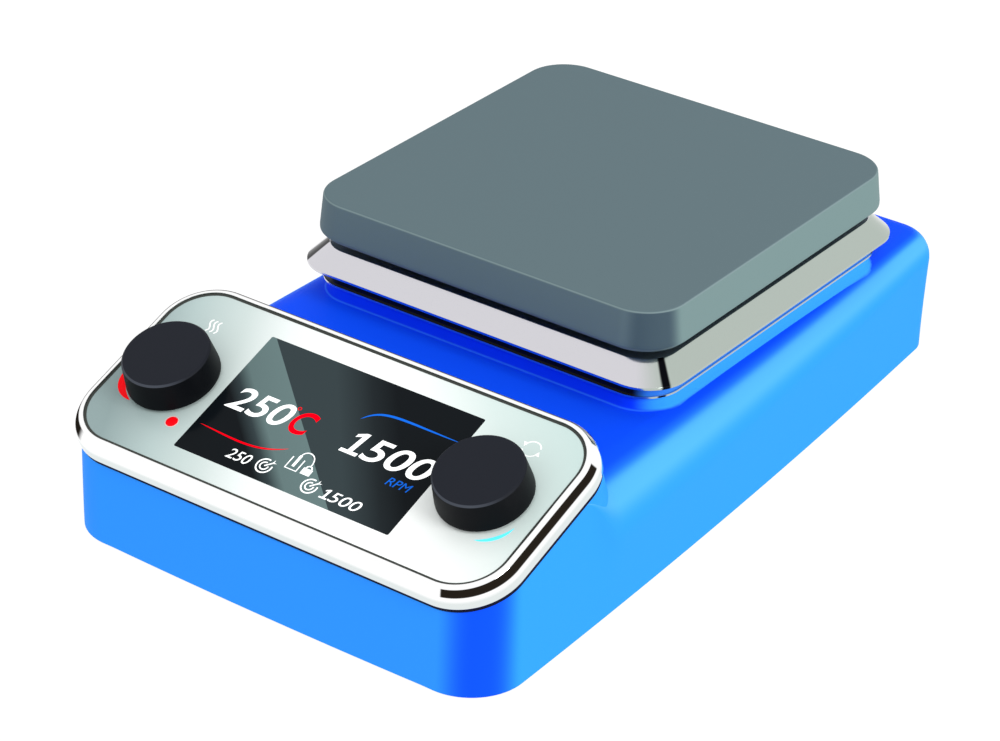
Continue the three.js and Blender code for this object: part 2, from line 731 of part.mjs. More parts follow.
const mainBoard = slab(boardDeck.width, boardDeck.depth, 3, boardDeck.z, boardDeck.topZ);
const coil = slab(
  transformer.width, transformer.depth, 3, boardDeck.topZ + GAP, boardDeck.topZ + transformer.height,
);
const relayBox = block(relay.width, relay.depth, boardDeck.topZ + GAP, boardDeck.topZ + relay.height);
add(unit, 'main_board', mainBoard, boardGreen, 0, boardDeck.centreY);
boardCorners().forEach(([x, y], index) => {
  const geometry = rod(spacer.radius, spacer.bottomZ, boardDeck.z - GAP, 12);
  add(unit, `board_spacer_${index + 1}`, geometry, brass, x, y);
});
add(unit, 'mains_transformer', coil, coilCopper, transformer.x, boardDeck.centreY);
add(unit, 'heater_relay', relayBox, blackPlastic, relay.x, boardDeck.centreY);
add(unit, 'heat_sink', finnedSink(), castAluminium, heatSink.x, boardDeck.centreY);

// ---------------------------------------------------------------- rear connections

const mouth = { width: 24.4, height: 16.6, depth: 15, z: 7 };
const drawer = { width: 20, height: 9, z: -11, depth: 24, travel: 18 };

const rear = new THREE.Group();
rear.position.set(0, body.rearY, 0);
unit.add(rear);

function mainsInlet() {
  const flange = laidBack(slab(inlet.width, inlet.height, inlet.corner, GAP, 2));
  const barrel = laidBack(slab(inlet.width - 5, inlet.height - 5, 1, -26, 0.5));
  const socket = laidBack(slab(mouth.width, mouth.height, 2, 2 - mouth.depth, 4)).translate(0, 0, mouth.z);
  const slot = laidBack(slab(drawer.width + 2 * GAP, drawer.height + 2 * GAP, 1, -drawer.depth, 4));
  const pinHoles = pinPlaces().map(([, x, z]) => (
    new THREE.BoxGeometry(2 + 2 * GAP, 9, 4 + 2 * GAP).translate(x, -15.8, z + mouth.z)
  ));
  return cut(join(flange, [barrel]), [socket, slot.translate(0, 0, drawer.z), ...pinHoles]);
}

function pinPlaces() {
  return [['live', -7, -2], ['neutral', 7, -2], ['earth', 0, 2]];
}

function fuseDrawer() {
  const front = laidBack(slab(drawer.width, drawer.height, 1, 0.4, 2));
  const tray = laidBack(slab(drawer.width - 1, drawer.height - 1, 1, 1 - drawer.depth + 1, 0.6));
  const pocket = block(6.2, 21, -3, 6).translate(0, -11, 0);
  return cut(join(front, [tray]), [pocket]);
}

add(rear, 'mains_inlet', mainsInlet(), blackPlastic, inlet.x, 0, inlet.z);
for (const [name, x, z] of pinPlaces()) {
  const pin = new THREE.BoxGeometry(2, 16, 4).translate(0, -12, 0);
  add(rear, `inlet_pin_${name}`, pin, nickel, inlet.x + x, 0, inlet.z + mouth.z + z);
}
add(rear, 'fuse_drawer', fuseDrawer(), blackPlastic, inlet.x, 0, inlet.z + drawer.z);
const fuse = new THREE.CylinderGeometry(2.5, 2.5, 20, 16).translate(0, -11, 0);
add(rear, 'fuse', fuse, ceramic, inlet.x, 0, inlet.z + drawer.z);

function switchFrame() {
  const flange = laidBack(slab(rocker.width, rocker.height, rocker.corner, GAP, 2));
  const barrel = laidBack(slab(rocker.width - 4, rocker.height - 4, 1, -18, 0.5));
  return cut(join(flange, [barrel]), [laidBack(slab(rocker.width - 8, rocker.height - 8, 0.8, -14, 4))]);
}

function rockerPaddle() {
  const half = (rocker.height - 10.4) / 2;
  const shape = new THREE.Shape();
  shape.moveTo(-half, -4);
  shape.lineTo(half, -4);
  shape.lineTo(half, 0.4);
  shape.lineTo(0, 2.2);
  shape.lineTo(-half, 3.1);
  const width = rocker.width - 9;
  return extrude(shape, -width / 2, width / 2).rotateY(-RIGHT_ANGLE);
}

function socketTube(radius, bore, length, proud) {
  return laidBack(ring(radius, bore, -length, proud, 28));
}

const rodTube = socketTube(rodSocket.radius - 2, rodSocket.bore, rodSocket.length, GAP);
const probeTube = socketTube(probeSocket.radius, probeSocket.bore, probeSocket.length, 1);
add(rear, 'switch_frame', switchFrame(), blackPlastic, rocker.x, 0, rocker.z);
add(rear, 'switch_rocker', rockerPaddle(), blackPlastic, rocker.x, 0, rocker.z);
add(rear, 'rod_socket', rodTube, nickel, rodSocket.x, 0, rodSocket.z);
add(rear, 'probe_socket', probeTube, nickel, probeSocket.x, 0, probeSocket.z);

export default unit;
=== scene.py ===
"""Looks of the heating magnetic stirrer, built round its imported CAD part.

Shapes are worked out in millimetres and become metres in piece(). X runs to the right, Y to the rear and
Z up. Pieces of the control panel are drawn in the panel's own frame: u to the right, v up the slope and
w out of the glass.
"""

from math import atan, copysign, cos, pi, radians, sin, sqrt, tan

import bpy
from mathutils import Matrix, Vector


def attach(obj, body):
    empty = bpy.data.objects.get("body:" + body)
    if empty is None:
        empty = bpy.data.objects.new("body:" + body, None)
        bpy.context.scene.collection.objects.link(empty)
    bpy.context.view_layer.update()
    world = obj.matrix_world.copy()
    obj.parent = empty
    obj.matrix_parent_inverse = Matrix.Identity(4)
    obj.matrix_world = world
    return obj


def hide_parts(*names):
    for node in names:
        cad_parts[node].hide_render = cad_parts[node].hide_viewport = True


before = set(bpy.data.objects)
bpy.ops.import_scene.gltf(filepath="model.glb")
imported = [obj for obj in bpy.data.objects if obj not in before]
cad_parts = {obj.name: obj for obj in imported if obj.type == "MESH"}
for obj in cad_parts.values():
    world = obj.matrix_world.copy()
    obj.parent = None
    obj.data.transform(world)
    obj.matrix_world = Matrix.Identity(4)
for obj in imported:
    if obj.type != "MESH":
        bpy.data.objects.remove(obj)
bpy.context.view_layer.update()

MM = 0.001
QUARTER = pi / 2
UPRIGHT = Matrix.Identity(4)


# ---- driving sizes, in millimetres. An opening or a face is a half width, a half height and a corner.

PLATE_Y = 49
PLATE = {"half": 94.6, "corner": 21, "bottom": 96, "top": 115}

PANEL_TILT = radians(20)
PANEL_Y = -142
PANEL_Z = 74.7
PANEL_PLACE = Matrix.Translation(Vector((0, PANEL_Y, PANEL_Z)) * MM) @ Matrix.Rotation(PANEL_TILT, 4, "X")
PANEL_HOLE = (98, 40, 14)
FASCIA = {"width": 215, "height": 89.5, "corner": 21.5, "depth": 3}
BEZEL = {
    "width": 226,
    "height": 101,
    "corner": 26.5,
    "depth": 8.6,
    "facet_drop": 4,
    "facet_reach": 3.4,
    "lip_rise": 0.8,
    "lip_end": 5.2,
    "back": 6.5,
    "seat": -3.3,
}
SEALS = {"shaded_gasket": (0.5, 6), "glass": (5.25, 6.4)}

BODY = {
    "front": -186.6,
    "rear": 185,
    "floor": 9,
    "deck": 68,
    "wall": 3,
    "front_corner": 25,
    "rear_corner": 16,
    "front_bow": 3200,
    "side_bow": 4600,
    "widest_y": -223,
    "widest_half": 112.7,
}
CONSOLE = {"gap": 2.1, "rear": -119, "deck_start": -90, "overhang": 0.8, "front_lean": -1.2}
CROWN = {"depth": 16, "rise": 0.15, "inset": 1.2, "bevel": 0.3}
SIDE_DRAFT = 1.8
SHOULDER = {"console": 0.8, "front": 24, "rear": 13}
DECK_HOLE = (88, 88, 15)

PLINTH = {"foot": 91.8, "top": 90.8, "top_z": 74.2, "corner": 18, "wall": 3, "hole": 50, "fillet": 1.8}
STEEL_SHEET = 1.2
SHIELD = {"top_z": 91.8, "rim_z": 82.2, "top_half": 91.3, "rim_half": 98.2, "corner": 19, "opening": 68}
COLLAR = {"half": 92, "corner": 17, "bottom_z": 74.5, "top_z": 88, "fold": 0.8, "flange": 0.9}
STANDOFF = {"reach": 62, "radius": 4.3}

KNOBS = {"heat": (-80.3, -3.6), "speed": (79.5, 0.3)}
KNOB = {"base": 20.4, "top": 19.2, "wall": 2.4, "bottom_w": 1.4, "top_w": 14.9, "shaft_hole": 4.7}
INDICATOR = (-65.2, -24)
INDICATOR_RADIUS = 2.6
DISPLAY = {"half_u": 56, "half_v": 33.85, "corner": 0.8, "drop": 0.35}
SLANT = 0.2

FEET = {"front": (78, -158), "rear": (70, 144)}
SCREWS = {"front": (101, -148), "rear": (72, 164)}

REAR_PLACE = Matrix.Translation((0, BODY["rear"] * MM, 0)) @ Matrix.Rotation(-QUARTER, 4, "X")
INLET = {"x": -48, "z": 37, "flange": (15, 20, 3), "hole": (13, 18, 1), "depth": 26}
SWITCH = {"x": 48, "z": 37, "flange": (11, 14, 2), "hole": (9.5, 12.5, 1), "depth": 18}
REAR_PROUD = 2
DRAWER = {"drop": 11, "face": (10, 4.5, 1), "slot": (10.3, 4.8, 1), "depth": 21}
ROD_SOCKET = {"outer": 7, "bore": 5, "depth": 28, "proud": 0.3, "z": 47}
PROBE_SOCKET = {"outer": 6.5, "bore": 4.5, "depth": 14, "proud": 1, "z": 23}
SOCKET_GAP = 0.3

# The camera's place is in metres, and its turns are azimuth, elevation and roll in degrees.
CAMERA = {"place": (0.7517, -1.0469, 0.7704), "turns": (36.35, 29.55, 0.87), "lens": 121.1}


# ---- mesh helpers


def new_object(name, data):
    obj = bpy.data.objects.new(name, data)
    bpy.context.scene.collection.objects.link(obj)
    return obj


def piece(name, points, faces, look, place=UPRIGHT, crease=30):
    """A mesh from points in millimetres, smooth but for edges that turn more than crease degrees."""
    mesh = bpy.data.meshes.new(name)
    mesh.from_pydata([tuple(c * MM for c in point) for point in points], [], faces)
    mesh.validate()
    mesh.materials.append(look)
    obj = new_object(name, mesh)
    obj.matrix_world = place
    shade(obj, crease)
    return obj


def shade(obj, crease=30):
    obj.data.shade_smooth()
    obj.data.set_sharp_from_angle(angle=radians(crease))
    weighted = obj.modifiers.new("weighted_normals", "WEIGHTED_NORMAL")
    weighted.keep_sharp = True


def skin(loops, wrap=False, capped=True):
    """Points and faces of a skin over loops of equal length. wrap joins the last loop to the first."""
    count = len(loops[0])
    points = [point for loop in loops for point in loop]
    faces = []
    for level in range(len(loops) if wrap else len(loops) - 1):
        low = level * count
        high = (level + 1) % len(loops) * count
        for i in range(count):
            j = (i + 1) % count
            faces.append((low + i, low + j, high + j, high + i))
    if capped and not wrap:
        last = (len(loops) - 1) * count
        faces.append(tuple(reversed(range(count))))
        faces.append(tuple(range(last, last + count)))
    return points, faces


def rounded_loop(half_x, half_y, radius, z, centre_y=0, steps=14):
    """A rounded rectangle at height z, anticlockwise seen from above."""
    loop = []
    for quarter in range(4):
        corner_x = half_x - radius if quarter in (0, 3) else radius - half_x
        corner_y = half_y - radius if quarter in (0, 1) else radius - half_y
        for i in range(steps + 1):
            angle = QUARTER * (quarter + i / steps)
            x = corner_x + radius * cos(angle)
            y = centre_y + corner_y + radius * sin(angle)
            loop.append((x, y, z))
    return loop


def circle_loop(radius, z, count, x=0, y=0):
    """count points round a circle, starting on the +X side."""
    turn = 2 * pi / count
    return [(x + radius * cos(i * turn), y + radius * sin(i * turn), z) for i in range(count)]


def soften(corners, steps=5):
    """The line through the corners, each (a, b, radius), with its corners rounded to their radius."""
    line = []
    for i, (a, b, radius) in enumerate(corners):
        here = Vector((a, b))
        if radius == 0:
            line.append((a, b))
            continue
        before = (Vector(corners[i - 1][:2]) - here).normalized()
        after = (Vector(corners[(i + 1) % len(corners)][:2]) - here).normalized()
        half_angle = before.angle(after) / 2
        centre = here + (before + after).normalized() * radius / sin(half_angle)
        spoke = here + before * radius / tan(half_angle) - centre
        turn = copysign(pi - 2 * half_angle, after.cross(before))
        for step in range(steps + 1):
            line.append(tuple(centre + Matrix.Rotation(turn * step / steps, 2) @ spoke))
    return line


def swept(half_x, half_y, corner, profile, centre_y=0, wrap=False, steps=14):
    """A profile of (distance in from the outline, height) swept round a rounded rectangle."""
    loops = []
    for inset, z in profile:
        radius = max(corner - inset, 0.2)
        loops.append(rounded_loop(half_x - inset, half_y - inset, radius, z, centre_y, steps))
    return skin(loops, wrap=wrap)


def turned(profile, count=72, x=0, y=0, wrap=False):
    """A profile of (radius, height), from the bottom up, turned about a vertical axis."""
    return skin([circle_loop(radius, z, count, x, y) for radius, z in profile], wrap=wrap)


def carve(obj, cutters, crease=30):
    """Cuts closed meshes out of obj, leaves it a plain mesh and removes the cutters."""
    obj.modifiers.clear()
    for cutter in cutters:
        modifier = obj.modifiers.new("cut", "BOOLEAN")
        modifier.operation = "DIFFERENCE"
        modifier.solver = "EXACT"
        modifier.object = cutter
    shape = obj.evaluated_get(bpy.context.evaluated_depsgraph_get())
    carved = bpy.data.meshes.new_from_object(shape)
    obj.modifiers.clear()
    obj.data = carved
    for cutter in cutters:
        bpy.data.objects.remove(cutter)
    shade(obj, crease)
    return obj


def tool(points, faces, place=UPRIGHT):
    """A throw-away mesh for carve()."""
    return piece("cutter", points, faces, TOOL_LOOK, place)


def on_enclosure(obj, slot, *nodes):
    fitted(obj, "enclosure", slot, *nodes)


def fitted(obj, body, slot, *nodes):
    """The piece rides on a body and stands for CAD nodes, which are hidden. The slot is not used."""
    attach(obj, body)
    if nodes:
        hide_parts(*nodes)


# ---- materials


def principled(look):
    return look.node_tree.nodes["Principled BSDF"]


def set_sockets(node, values):
    for name, value in values.items():
        node.inputs[name].default_value = value


def new_look(name, colour, roughness, metallic=0.0, specular=0.5, emission=0.0):
    """A Principled material with plain values on its sockets."""
    look = bpy.data.materials.new(name)
    look.use_nodes = True
    set_sockets(principled(look), {
        "Base Color": (*colour, 1),
        "Roughness": roughness,
        "Metallic": metallic,
        "Specular IOR Level": specular,
    })
    if emission:
        set_sockets(principled(look), {"Emission Color": (*colour, 1), "Emission Strength": emission})
    return look


def add_node(look, kind, **settings):
    node = look.node_tree.nodes.new(kind)
    for key, value in settings.items():
        setattr(node, key, value)
    return node


def join(look, output, target):
    look.node_tree.links.new(output, target)


def paint(look, colour):
    """Colours the look by a node's output and returns the look."""
    join(look, colour, principled(look).inputs["Base Color"])
    return look


def maths(look, operation, first, second=0.0):
    """A Math node on two values, each a number or another node's output."""
    node = add_node(look, "ShaderNodeMath", operation=operation)
    for socket, value in zip(node.inputs, (first, second)):
        if isinstance(value, bpy.types.NodeSocket):
            join(look, value, socket)
        else:
            socket.default_value = value
    return node.outputs[0]


def times(look, first, second):
    return maths(look, "MULTIPLY", first, second)


def opposite(look, value):
    """1 where value is 0, and 0 where it is 1."""
    return maths(look, "SUBTRACT", 1.0, value)


def blend_range(look, value, low, high):
    """0 where value is at or under low, 1 from high on, and smooth between."""
    node = add_node(look, "ShaderNodeMapRange", interpolation_type="SMOOTHSTEP")
    join(look, value, node.inputs["Value"])
    set_sockets(node, {"From Min": low, "From Max": high})
    return node.outputs["Result"]


def mix_colours(look, factor, first, second, blend="MIX"):
    node = add_node(look, "ShaderNodeMix", data_type="RGBA", blend_type=blend)
    sockets = [s for s in node.inputs if s.enabled]
    for socket, value in zip(sockets, (factor, first, second)):
        if isinstance(value, bpy.types.NodeSocket):
            join(look, value, socket)
        elif isinstance(value, tuple):
            socket.default_value = (*value, 1)
        else:
            socket.default_value = value
    return [s for s in node.outputs if s.enabled][0]


def noise(look, scale):
    """Noise between 0 and 1, scale in waves per metre."""
    coordinates = add_node(look, "ShaderNodeTexCoord")
    node = add_node(look, "ShaderNodeTexNoise")
    set_sockets(node, {"Scale": scale})
    join(look, coordinates.outputs["Object"], node.inputs["Vector"])
    return node.outputs["Fac"]


def grain(look, scale, strength, distance=0.0001):
    """A fine bump all over."""
    bump = add_node(look, "ShaderNodeBump")
    set_sockets(bump, {"Strength": strength, "Distance": distance})
    join(look, noise(look, scale), bump.inputs["Height"])
    join(look, bump.outputs["Normal"], principled(look).inputs["Normal"])
    return look


def mottle(look, scale, low, high):
    """Roughness that wanders between low and high."""
    spread = add_node(look, "ShaderNodeMapRange")
    set_sockets(spread, {"To Min": low, "To Max": high})
    join(look, noise(look, scale), spread.inputs["Value"])
    join(look, spread.outputs["Result"], principled(look).inputs["Roughness"])
    return look


def surface_values(look, kind):
    """The three values of the surface's normal or of its place, in the piece's own coordinates."""
    coordinates = add_node(look, "ShaderNodeTexCoord")
    split = add_node(look, "ShaderNodeSeparateXYZ")
    join(look, coordinates.outputs[kind], split.inputs["Vector"])
    return split.outputs


def face_normal(look):
    return surface_values(look, "Normal")


def across(look, weight_u, weight_v):
    """The distance along one direction of the panel, in millimetres."""
    u, v = [maths(look, "DIVIDE", value, MM) for value in surface_values(look, "Object")[:2]]
    return maths(look, "ADD", times(look, u, weight_u), times(look, v, weight_v))


def ramp(look, value, start, end, stops):
    """Colours along a value: stops are (value, colour), between start and end."""
    spread = add_node(look, "ShaderNodeMapRange")
    set_sockets(spread, {"From Min": start, "From Max": end})
    join(look, value, spread.inputs["Value"])
    node = add_node(look, "ShaderNodeValToRGB")
    join(look, spread.outputs["Result"], node.inputs["Fac"])
    elements = node.color_ramp.elements
    elements.remove(elements[0])
    for index, (place, colour) in enumerate(stops):
        position = (place - start) / (end - start)
        element = elements[0] if index == 0 else elements.new(position)
        element.position = position
        element.color = (*colour, 1)
    return node.outputs["Color"]


def band(look, value, low, high, soft):
    """1 where value lies between low and high, falling to 0 over the soft width inside each end."""
    rise = blend_range(look, value, low, low + soft)
    fall = opposite(look, blend_range(look, value, high - soft, high))
    return times(look, rise, fall)


def steepness(look, nx, ny):
    """0 on a level face and 1 on an upright one."""
    return maths(look, "SQRT", maths(look, "ADD", maths(look, "POWER", nx, 2), maths(look, "POWER", ny, 2)))


def blue_coat():
    """Powder coat of deep blue. A painted reflection of the lights makes the walls azure, a little brighter
    on the right, and a painted highlight makes the right shoulder palest. Level faces and the front right
    and rear left corners are left without the painted reflection and stay deep blue. All of it follows the
    surface's direction."""
    look = new_look("blue_coat", (0.025, 0.24, 0.9), 0.5, specular=0.02)
    nx, ny, _ = face_normal(look)
    steep = steepness(look, nx, ny)
    # Masks for the painted reflection on the walls: it is left out on level faces and at the front right and
    # rear left corners.
    wall = blend_range(look, steep, 0.3, 0.75)
    turn = times(look, times(look, nx, ny), -1)
    corner = blend_range(look, turn, 0.0, 0.5)
    azure = times(look, wall, opposite(look, corner))
    # The painted reflection is a little brighter on the right wall than on the front.
    walls = mix_colours(look, blend_range(look, nx, 0.5, 0.95), (0.028, 0.285, 1.0), (0.026, 0.3, 1.0))
    colour = mix_colours(look, azure, (0.004, 0.078, 0.95), walls)
    # A painted highlight along the right shoulder.
    shoulder_highlight = times(look, blend_range(look, nx, 0.4, 0.7), band(look, steep, 0.45, 1.0, 0.18))
    colour = mix_colours(look, shoulder_highlight, colour, (0.075, 0.39, 1.0))
    return grain(paint(look, colour), 1400, 0.08)


def plinth_coat():
    """The coat under the plate: deep blue in front as painted shade under the plate, azure on the right as a
    painted reflection, with a painted highlight in a paler line at the foot.
    """
    look = new_look("plinth_coat", (0.025, 0.24, 0.9), 0.5, specular=0.02)
    nx, ny, _ = face_normal(look)
    # Painted shade under the plate keeps the front deep blue; a painted reflection makes the right side
    # azure.
    right = blend_range(look, nx, 0.3, 0.8)
    colour = mix_colours(look, right, (0.003, 0.05, 0.92), (0.034, 0.33, 0.98))
    # A painted highlight in a paler line along the fillet at the foot.
    foot = band(look, steepness(look, nx, ny), 0.15, 0.9, 0.3)
    colour = mix_colours(look, times(look, foot, 0.4), colour, (0.045, 0.3, 1.0))
    return grain(paint(look, colour), 1400, 0.08)


def silver_print():
    """The silver print behind the fascia's glass, with a painted reflection that is bright along a slanting
    band, and painted shade that is darkest at its left.
    """
    look = new_look("silver_print", (0.8, 0.85, 0.84), 0.25, specular=0.3)
    # Painted reflection and shade in two ramps that multiply: this one darkens the print towards its left.
    left = ramp(
        look, across(look, 1, 0.45), -110, 10,
        [
            (-108, (0.26, 0.35, 0.35)),
            (-82, (0.44, 0.55, 0.54)),
            (-56, (0.59, 0.68, 0.66)),
            (-33, (0.81, 0.86, 0.85)),
            (5, (0.95, 0.97, 0.96)),
        ],
    )
    # This one dims the print beyond the bright slanting band of the painted reflection.
    right = ramp(
        look, across(look, 1, 1), 20, 140,
        [(30, (1, 1, 1)), (66, (0.84, 0.88, 0.87)), (95, (0.68, 0.78, 0.76)), (135, (0.57, 0.70, 0.68))],
    )
    return paint(look, mix_colours(look, 1.0, left, right, "MULTIPLY"))


def screen_glass():
    """The display's dark glass with a painted reflection: a slanting sheen that ends on a straight line."""
    look = new_look("screen_glass", (0.01, 0.012, 0.014), 0.15, specular=0.05)
    line = -12.2
    slanting = across(look, 0.85, 1)
    # Painted reflection, brightening up to the straight line.
    sheen = ramp(
        look, slanting, -50, line,
        [
            (-45, (0.004, 0.006, 0.008)),
            (-38, (0.03, 0.045, 0.05)),
            (-31, (0.115, 0.175, 0.175)),
            (line, (0.125, 0.19, 0.19)),
        ],
    )
    # Painted reflection beyond the line, fading to black.
    fading_reflection = ramp(
        look, across(look, 0.85, 0.7), 0, 40,
        [
            (5, (0.033, 0.048, 0.053)),
            (15, (0.021, 0.03, 0.034)),
            (21, (0.012, 0.017, 0.02)),
            (32, (0.004, 0.006, 0.008)),
        ],
    )
    beyond = maths(look, "GREATER_THAN", slanting, line)
    return paint(look, mix_colours(look, beyond, sheen, fading_reflection))


def plate_coat():
    """The plate's grey ceramic coat, with painted light that makes its right side paler, a painted highlight
    on its upper edge, and painted shade round its front right and rear left corners."""
    look = new_look("plate_coat", (0.105, 0.156, 0.17), 0.6, specular=0.1)
    nx, ny, nz = face_normal(look)
    # Painted light on the right side.
    side = blend_range(look, nx, 0.5, 0.95)
    colour = mix_colours(look, side, (0.1, 0.15, 0.168), (0.155, 0.235, 0.235))
    # Painted shade round the front right and rear left corners.
    turn = times(look, times(look, nx, ny), -1)
    colour = mix_colours(look, blend_range(look, turn, 0.1, 0.42), colour, (0.05, 0.082, 0.105))
    # A painted highlight along the upper edge.
    edge = band(look, nz, 0.4, 0.95, 0.2)
    colour = mix_colours(look, times(look, edge, 0.7), colour, (0.2, 0.27, 0.28))
    return grain(paint(look, colour), 1600, 0.1)


def knob_black():
    """Satin black, with painted shade that makes the side blacker than the top, and a painted highlight in a
    light line at the front of the rim.
    """
    look = new_look("knob_black", (0.01, 0.012, 0.017), 0.5, specular=0.08)
    _, ny, nz = face_normal(look)
    # Painted light on the top and painted shade on the side.
    top = blend_range(look, nz, 0.3, 0.9)
    colour = mix_colours(look, top, (0.0016, 0.0022, 0.0036), (0.0115, 0.0135, 0.02))
    # A painted highlight along the front of the rim.
    rim = band(look, nz, 0.5, 0.95, 0.2)
    front = blend_range(look, times(look, ny, -1), 0.2, 0.7)
    colour = mix_colours(look, times(look, rim, front), colour, (0.055, 0.063, 0.08))
    return grain(paint(look, colour), 2500, 0.06)


def chrome():
    """Mirror chrome, with a painted grey reflection on the upright band. Dark bands are painted reflections
    of a darker room: on the facet at the right, at the left front corner and along the left and rear edge.
    They follow the surface's direction, and the metal fades out in them so that they stay dark."""
    look = new_look("chrome", (0.9, 0.93, 0.92), 0.04, specular=0.0)
    nx, ny, nz = face_normal(look)
    lean, rise = sin(PANEL_TILT), cos(PANEL_TILT)
    upslope = maths(look, "ADD", times(look, ny, rise), times(look, nz, lean))
    outward = maths(look, "SUBTRACT", times(look, nz, rise), times(look, ny, lean))
    turn = maths(look, "ARCTAN2", upslope, nx)
    # A painted reflection makes the upright band greyer.
    colour = mix_colours(look, blend_range(look, outward, 0.1, 0.4), (0.74, 0.79, 0.78), (1.0, 1.0, 1.0))
    # Painted dark reflections: on the facet at the right, at the left front corner and along the left and
    # rear edge.
    facet = band(look, outward, 0.46, 0.7, 0.04)
    right = band(look, turn, radians(-79), radians(22), 0.04)
    black = times(look, facet, right)
    corner = band(look, turn, radians(-200), radians(-112), 0.2)
    brown = times(look, corner, band(look, outward, 0.3, 0.85, 0.15))
    away = blend_range(look, maths(look, "SUBTRACT", ny, nx), -0.1, 0.3)
    edge = times(look, away, band(look, outward, 0.55, 0.98, 0.05))
    dark = maths(look, "MAXIMUM", maths(look, "MAXIMUM", black, brown), edge)
    join(look, opposite(look, dark), principled(look).inputs["Metallic"])
    return paint(look, mix_colours(look, dark, colour, (0.014, 0.011, 0.008)))


def polished_steel():
    """The shield's polished steel, of uneven gloss, with a painted greener reflection on the right and a
    painted dark reflection in a band on each front corner."""
    look = new_look("polished_steel", (0.72, 0.72, 0.74), 0.14, metallic=1)
    nx, ny, nz = face_normal(look)
    # A painted greener reflection on the right.
    right = blend_range(look, nx, 0.2, 0.6)
    colour = mix_colours(look, right, (0.66, 0.65, 0.69), (0.46, 0.52, 0.475))
    turn = maths(look, "ARCTAN2", ny, nx)
    # Painted dark reflections in a band on each front corner.
    for start, end in ((-38, -22), (-158, -130)):
        dark = band(look, turn, radians(start), radians(end), 0.07)
        sloping = maths(look, "LESS_THAN", nz, 0.97)
        colour = mix_colours(look, times(look, dark, sloping), colour, (0.004, 0.004, 0.006))
    return mottle(paint(look, colour), 260, 0.1, 0.2)


def collar_steel():
    """The collar under the shield: black as painted shade under the skirt, and blue on the right as a painted
    reflection of the housing.
    """
    look = new_look("collar_steel", (0.003, 0.003, 0.004), 0.25, specular=0.1)
    nx = face_normal(look)[0]
    # A painted reflection of the blue housing on the right, and painted shade elsewhere.
    right = blend_range(look, nx, 0.3, 0.7)
    return paint(look, mix_colours(look, right, (0.003, 0.003, 0.004), (0.03, 0.22, 0.8)))


TOOL_LOOK = new_look("tool_look", (0.5, 0.5, 0.5), 0.5)
BLUE = blue_coat()
PLINTH_BLUE = plinth_coat()
CHROME = chrome()
SILVER = silver_print()
SCREEN = screen_glass()
# The seal's dark navy colour is painted shade of the gap under the bezel.
SHADED_GASKET = new_look("shaded_gasket", (0.003, 0.004, 0.02), 0.6, specular=0.05)
SEAL = new_look("glass_seal", (0.045, 0.05, 0.045), 0.5, specular=0.1)
INK_WHITE = new_look("ink_white", (0.95, 0.97, 0.97), 0.4, specular=0.2, emission=0.4)
INK_RED = new_look("ink_red", (0.85, 0.0, 0.008), 0.6, specular=0.0, emission=0.2)
INK_BLUE = new_look("ink_blue", (0.008, 0.13, 0.68), 0.6, specular=0.0, emission=0.2)
HALO_PRINT = new_look("halo_print", (0.86, 0.6, 0.6), 0.4, specular=0.2)
# The fascia's pale print, with a faint painted glow.
PALE_PRINT = new_look("pale_print", (0.95, 0.97, 0.96), 0.3, specular=0.3, emission=0.1)
RED_LIGHT = new_look("red_light", (0.9, 0.001, 0.006), 0.4, specular=0.05, emission=0.25)
CYAN_LIGHT = new_look("cyan_light", (0.1, 0.75, 0.9), 0.3, specular=0.2, emission=0.4)
KNOB_BLACK = knob_black()
PLATE_COAT = plate_coat()
STEEL = polished_steel()
COLLAR_STEEL = collar_steel()
ZINC = mottle(new_look("zinc_steel", (0.52, 0.53, 0.52), 0.35, metallic=1), 180, 0.28, 0.45)
NICKEL = mottle(new_look("nickel", (0.62, 0.60, 0.55), 0.22, metallic=1), 300, 0.16, 0.28)
ALUMINIUM = grain(new_look("aluminium", (0.62, 0.63, 0.64), 0.45, metallic=1), 900, 0.2)
WOOL = grain(new_look("wool", (0.72, 0.68, 0.56), 0.95, specular=0.1), 1200, 0.8, 0.0006)
CERAMIC = grain(new_look("white_ceramic", (0.82, 0.79, 0.70), 0.4), 700, 0.05)
RUBBER = grain(new_look("rubber", (0.018, 0.018, 0.019), 0.8, specular=0.3), 1500, 0.25)
BOARD = mottle(new_look("board", (0.012, 0.11, 0.035), 0.4), 500, 0.3, 0.5)
BRASS = mottle(new_look("brass", (0.55, 0.38, 0.14), 0.3, metallic=1), 300, 0.22, 0.36)
COPPER = mottle(new_look("copper", (0.5, 0.2, 0.09), 0.35, metallic=1), 300, 0.28, 0.42)
BLACK_PLASTIC = grain(new_look("black_plastic", (0.012, 0.013, 0.015), 0.5, specular=0.4), 1800, 0.15)
MOTOR_BLACK = grain(new_look("motor_black", (0.02, 0.02, 0.023), 0.45), 1500, 0.12)


# ---- housing form


def lerp(start, end, part):
    return start + (end - start) * part


def smooth(start, end, value):
    part = min(max((value - start) / (end - start), 0), 1)
    return part * part * (3 - 2 * part)


def half_width(y):
    return BODY["widest_half"] - (y - BODY["widest_y"]) ** 2 / (2 * BODY["side_bow"])


def side_turn(y):
    return atan((y - BODY["widest_y"]) / BODY["side_bow"])


def plan_point(x, y, angle):
    return x, y, cos(angle), sin(angle)


def plan_arc(x, y, radius, start, end, steps):
    points = []
    for i in range(steps + 1):
        angle = lerp(start, end, i / steps)
        points.append(plan_point(x + radius * cos(angle), y + radius * sin(angle), angle))
    return points


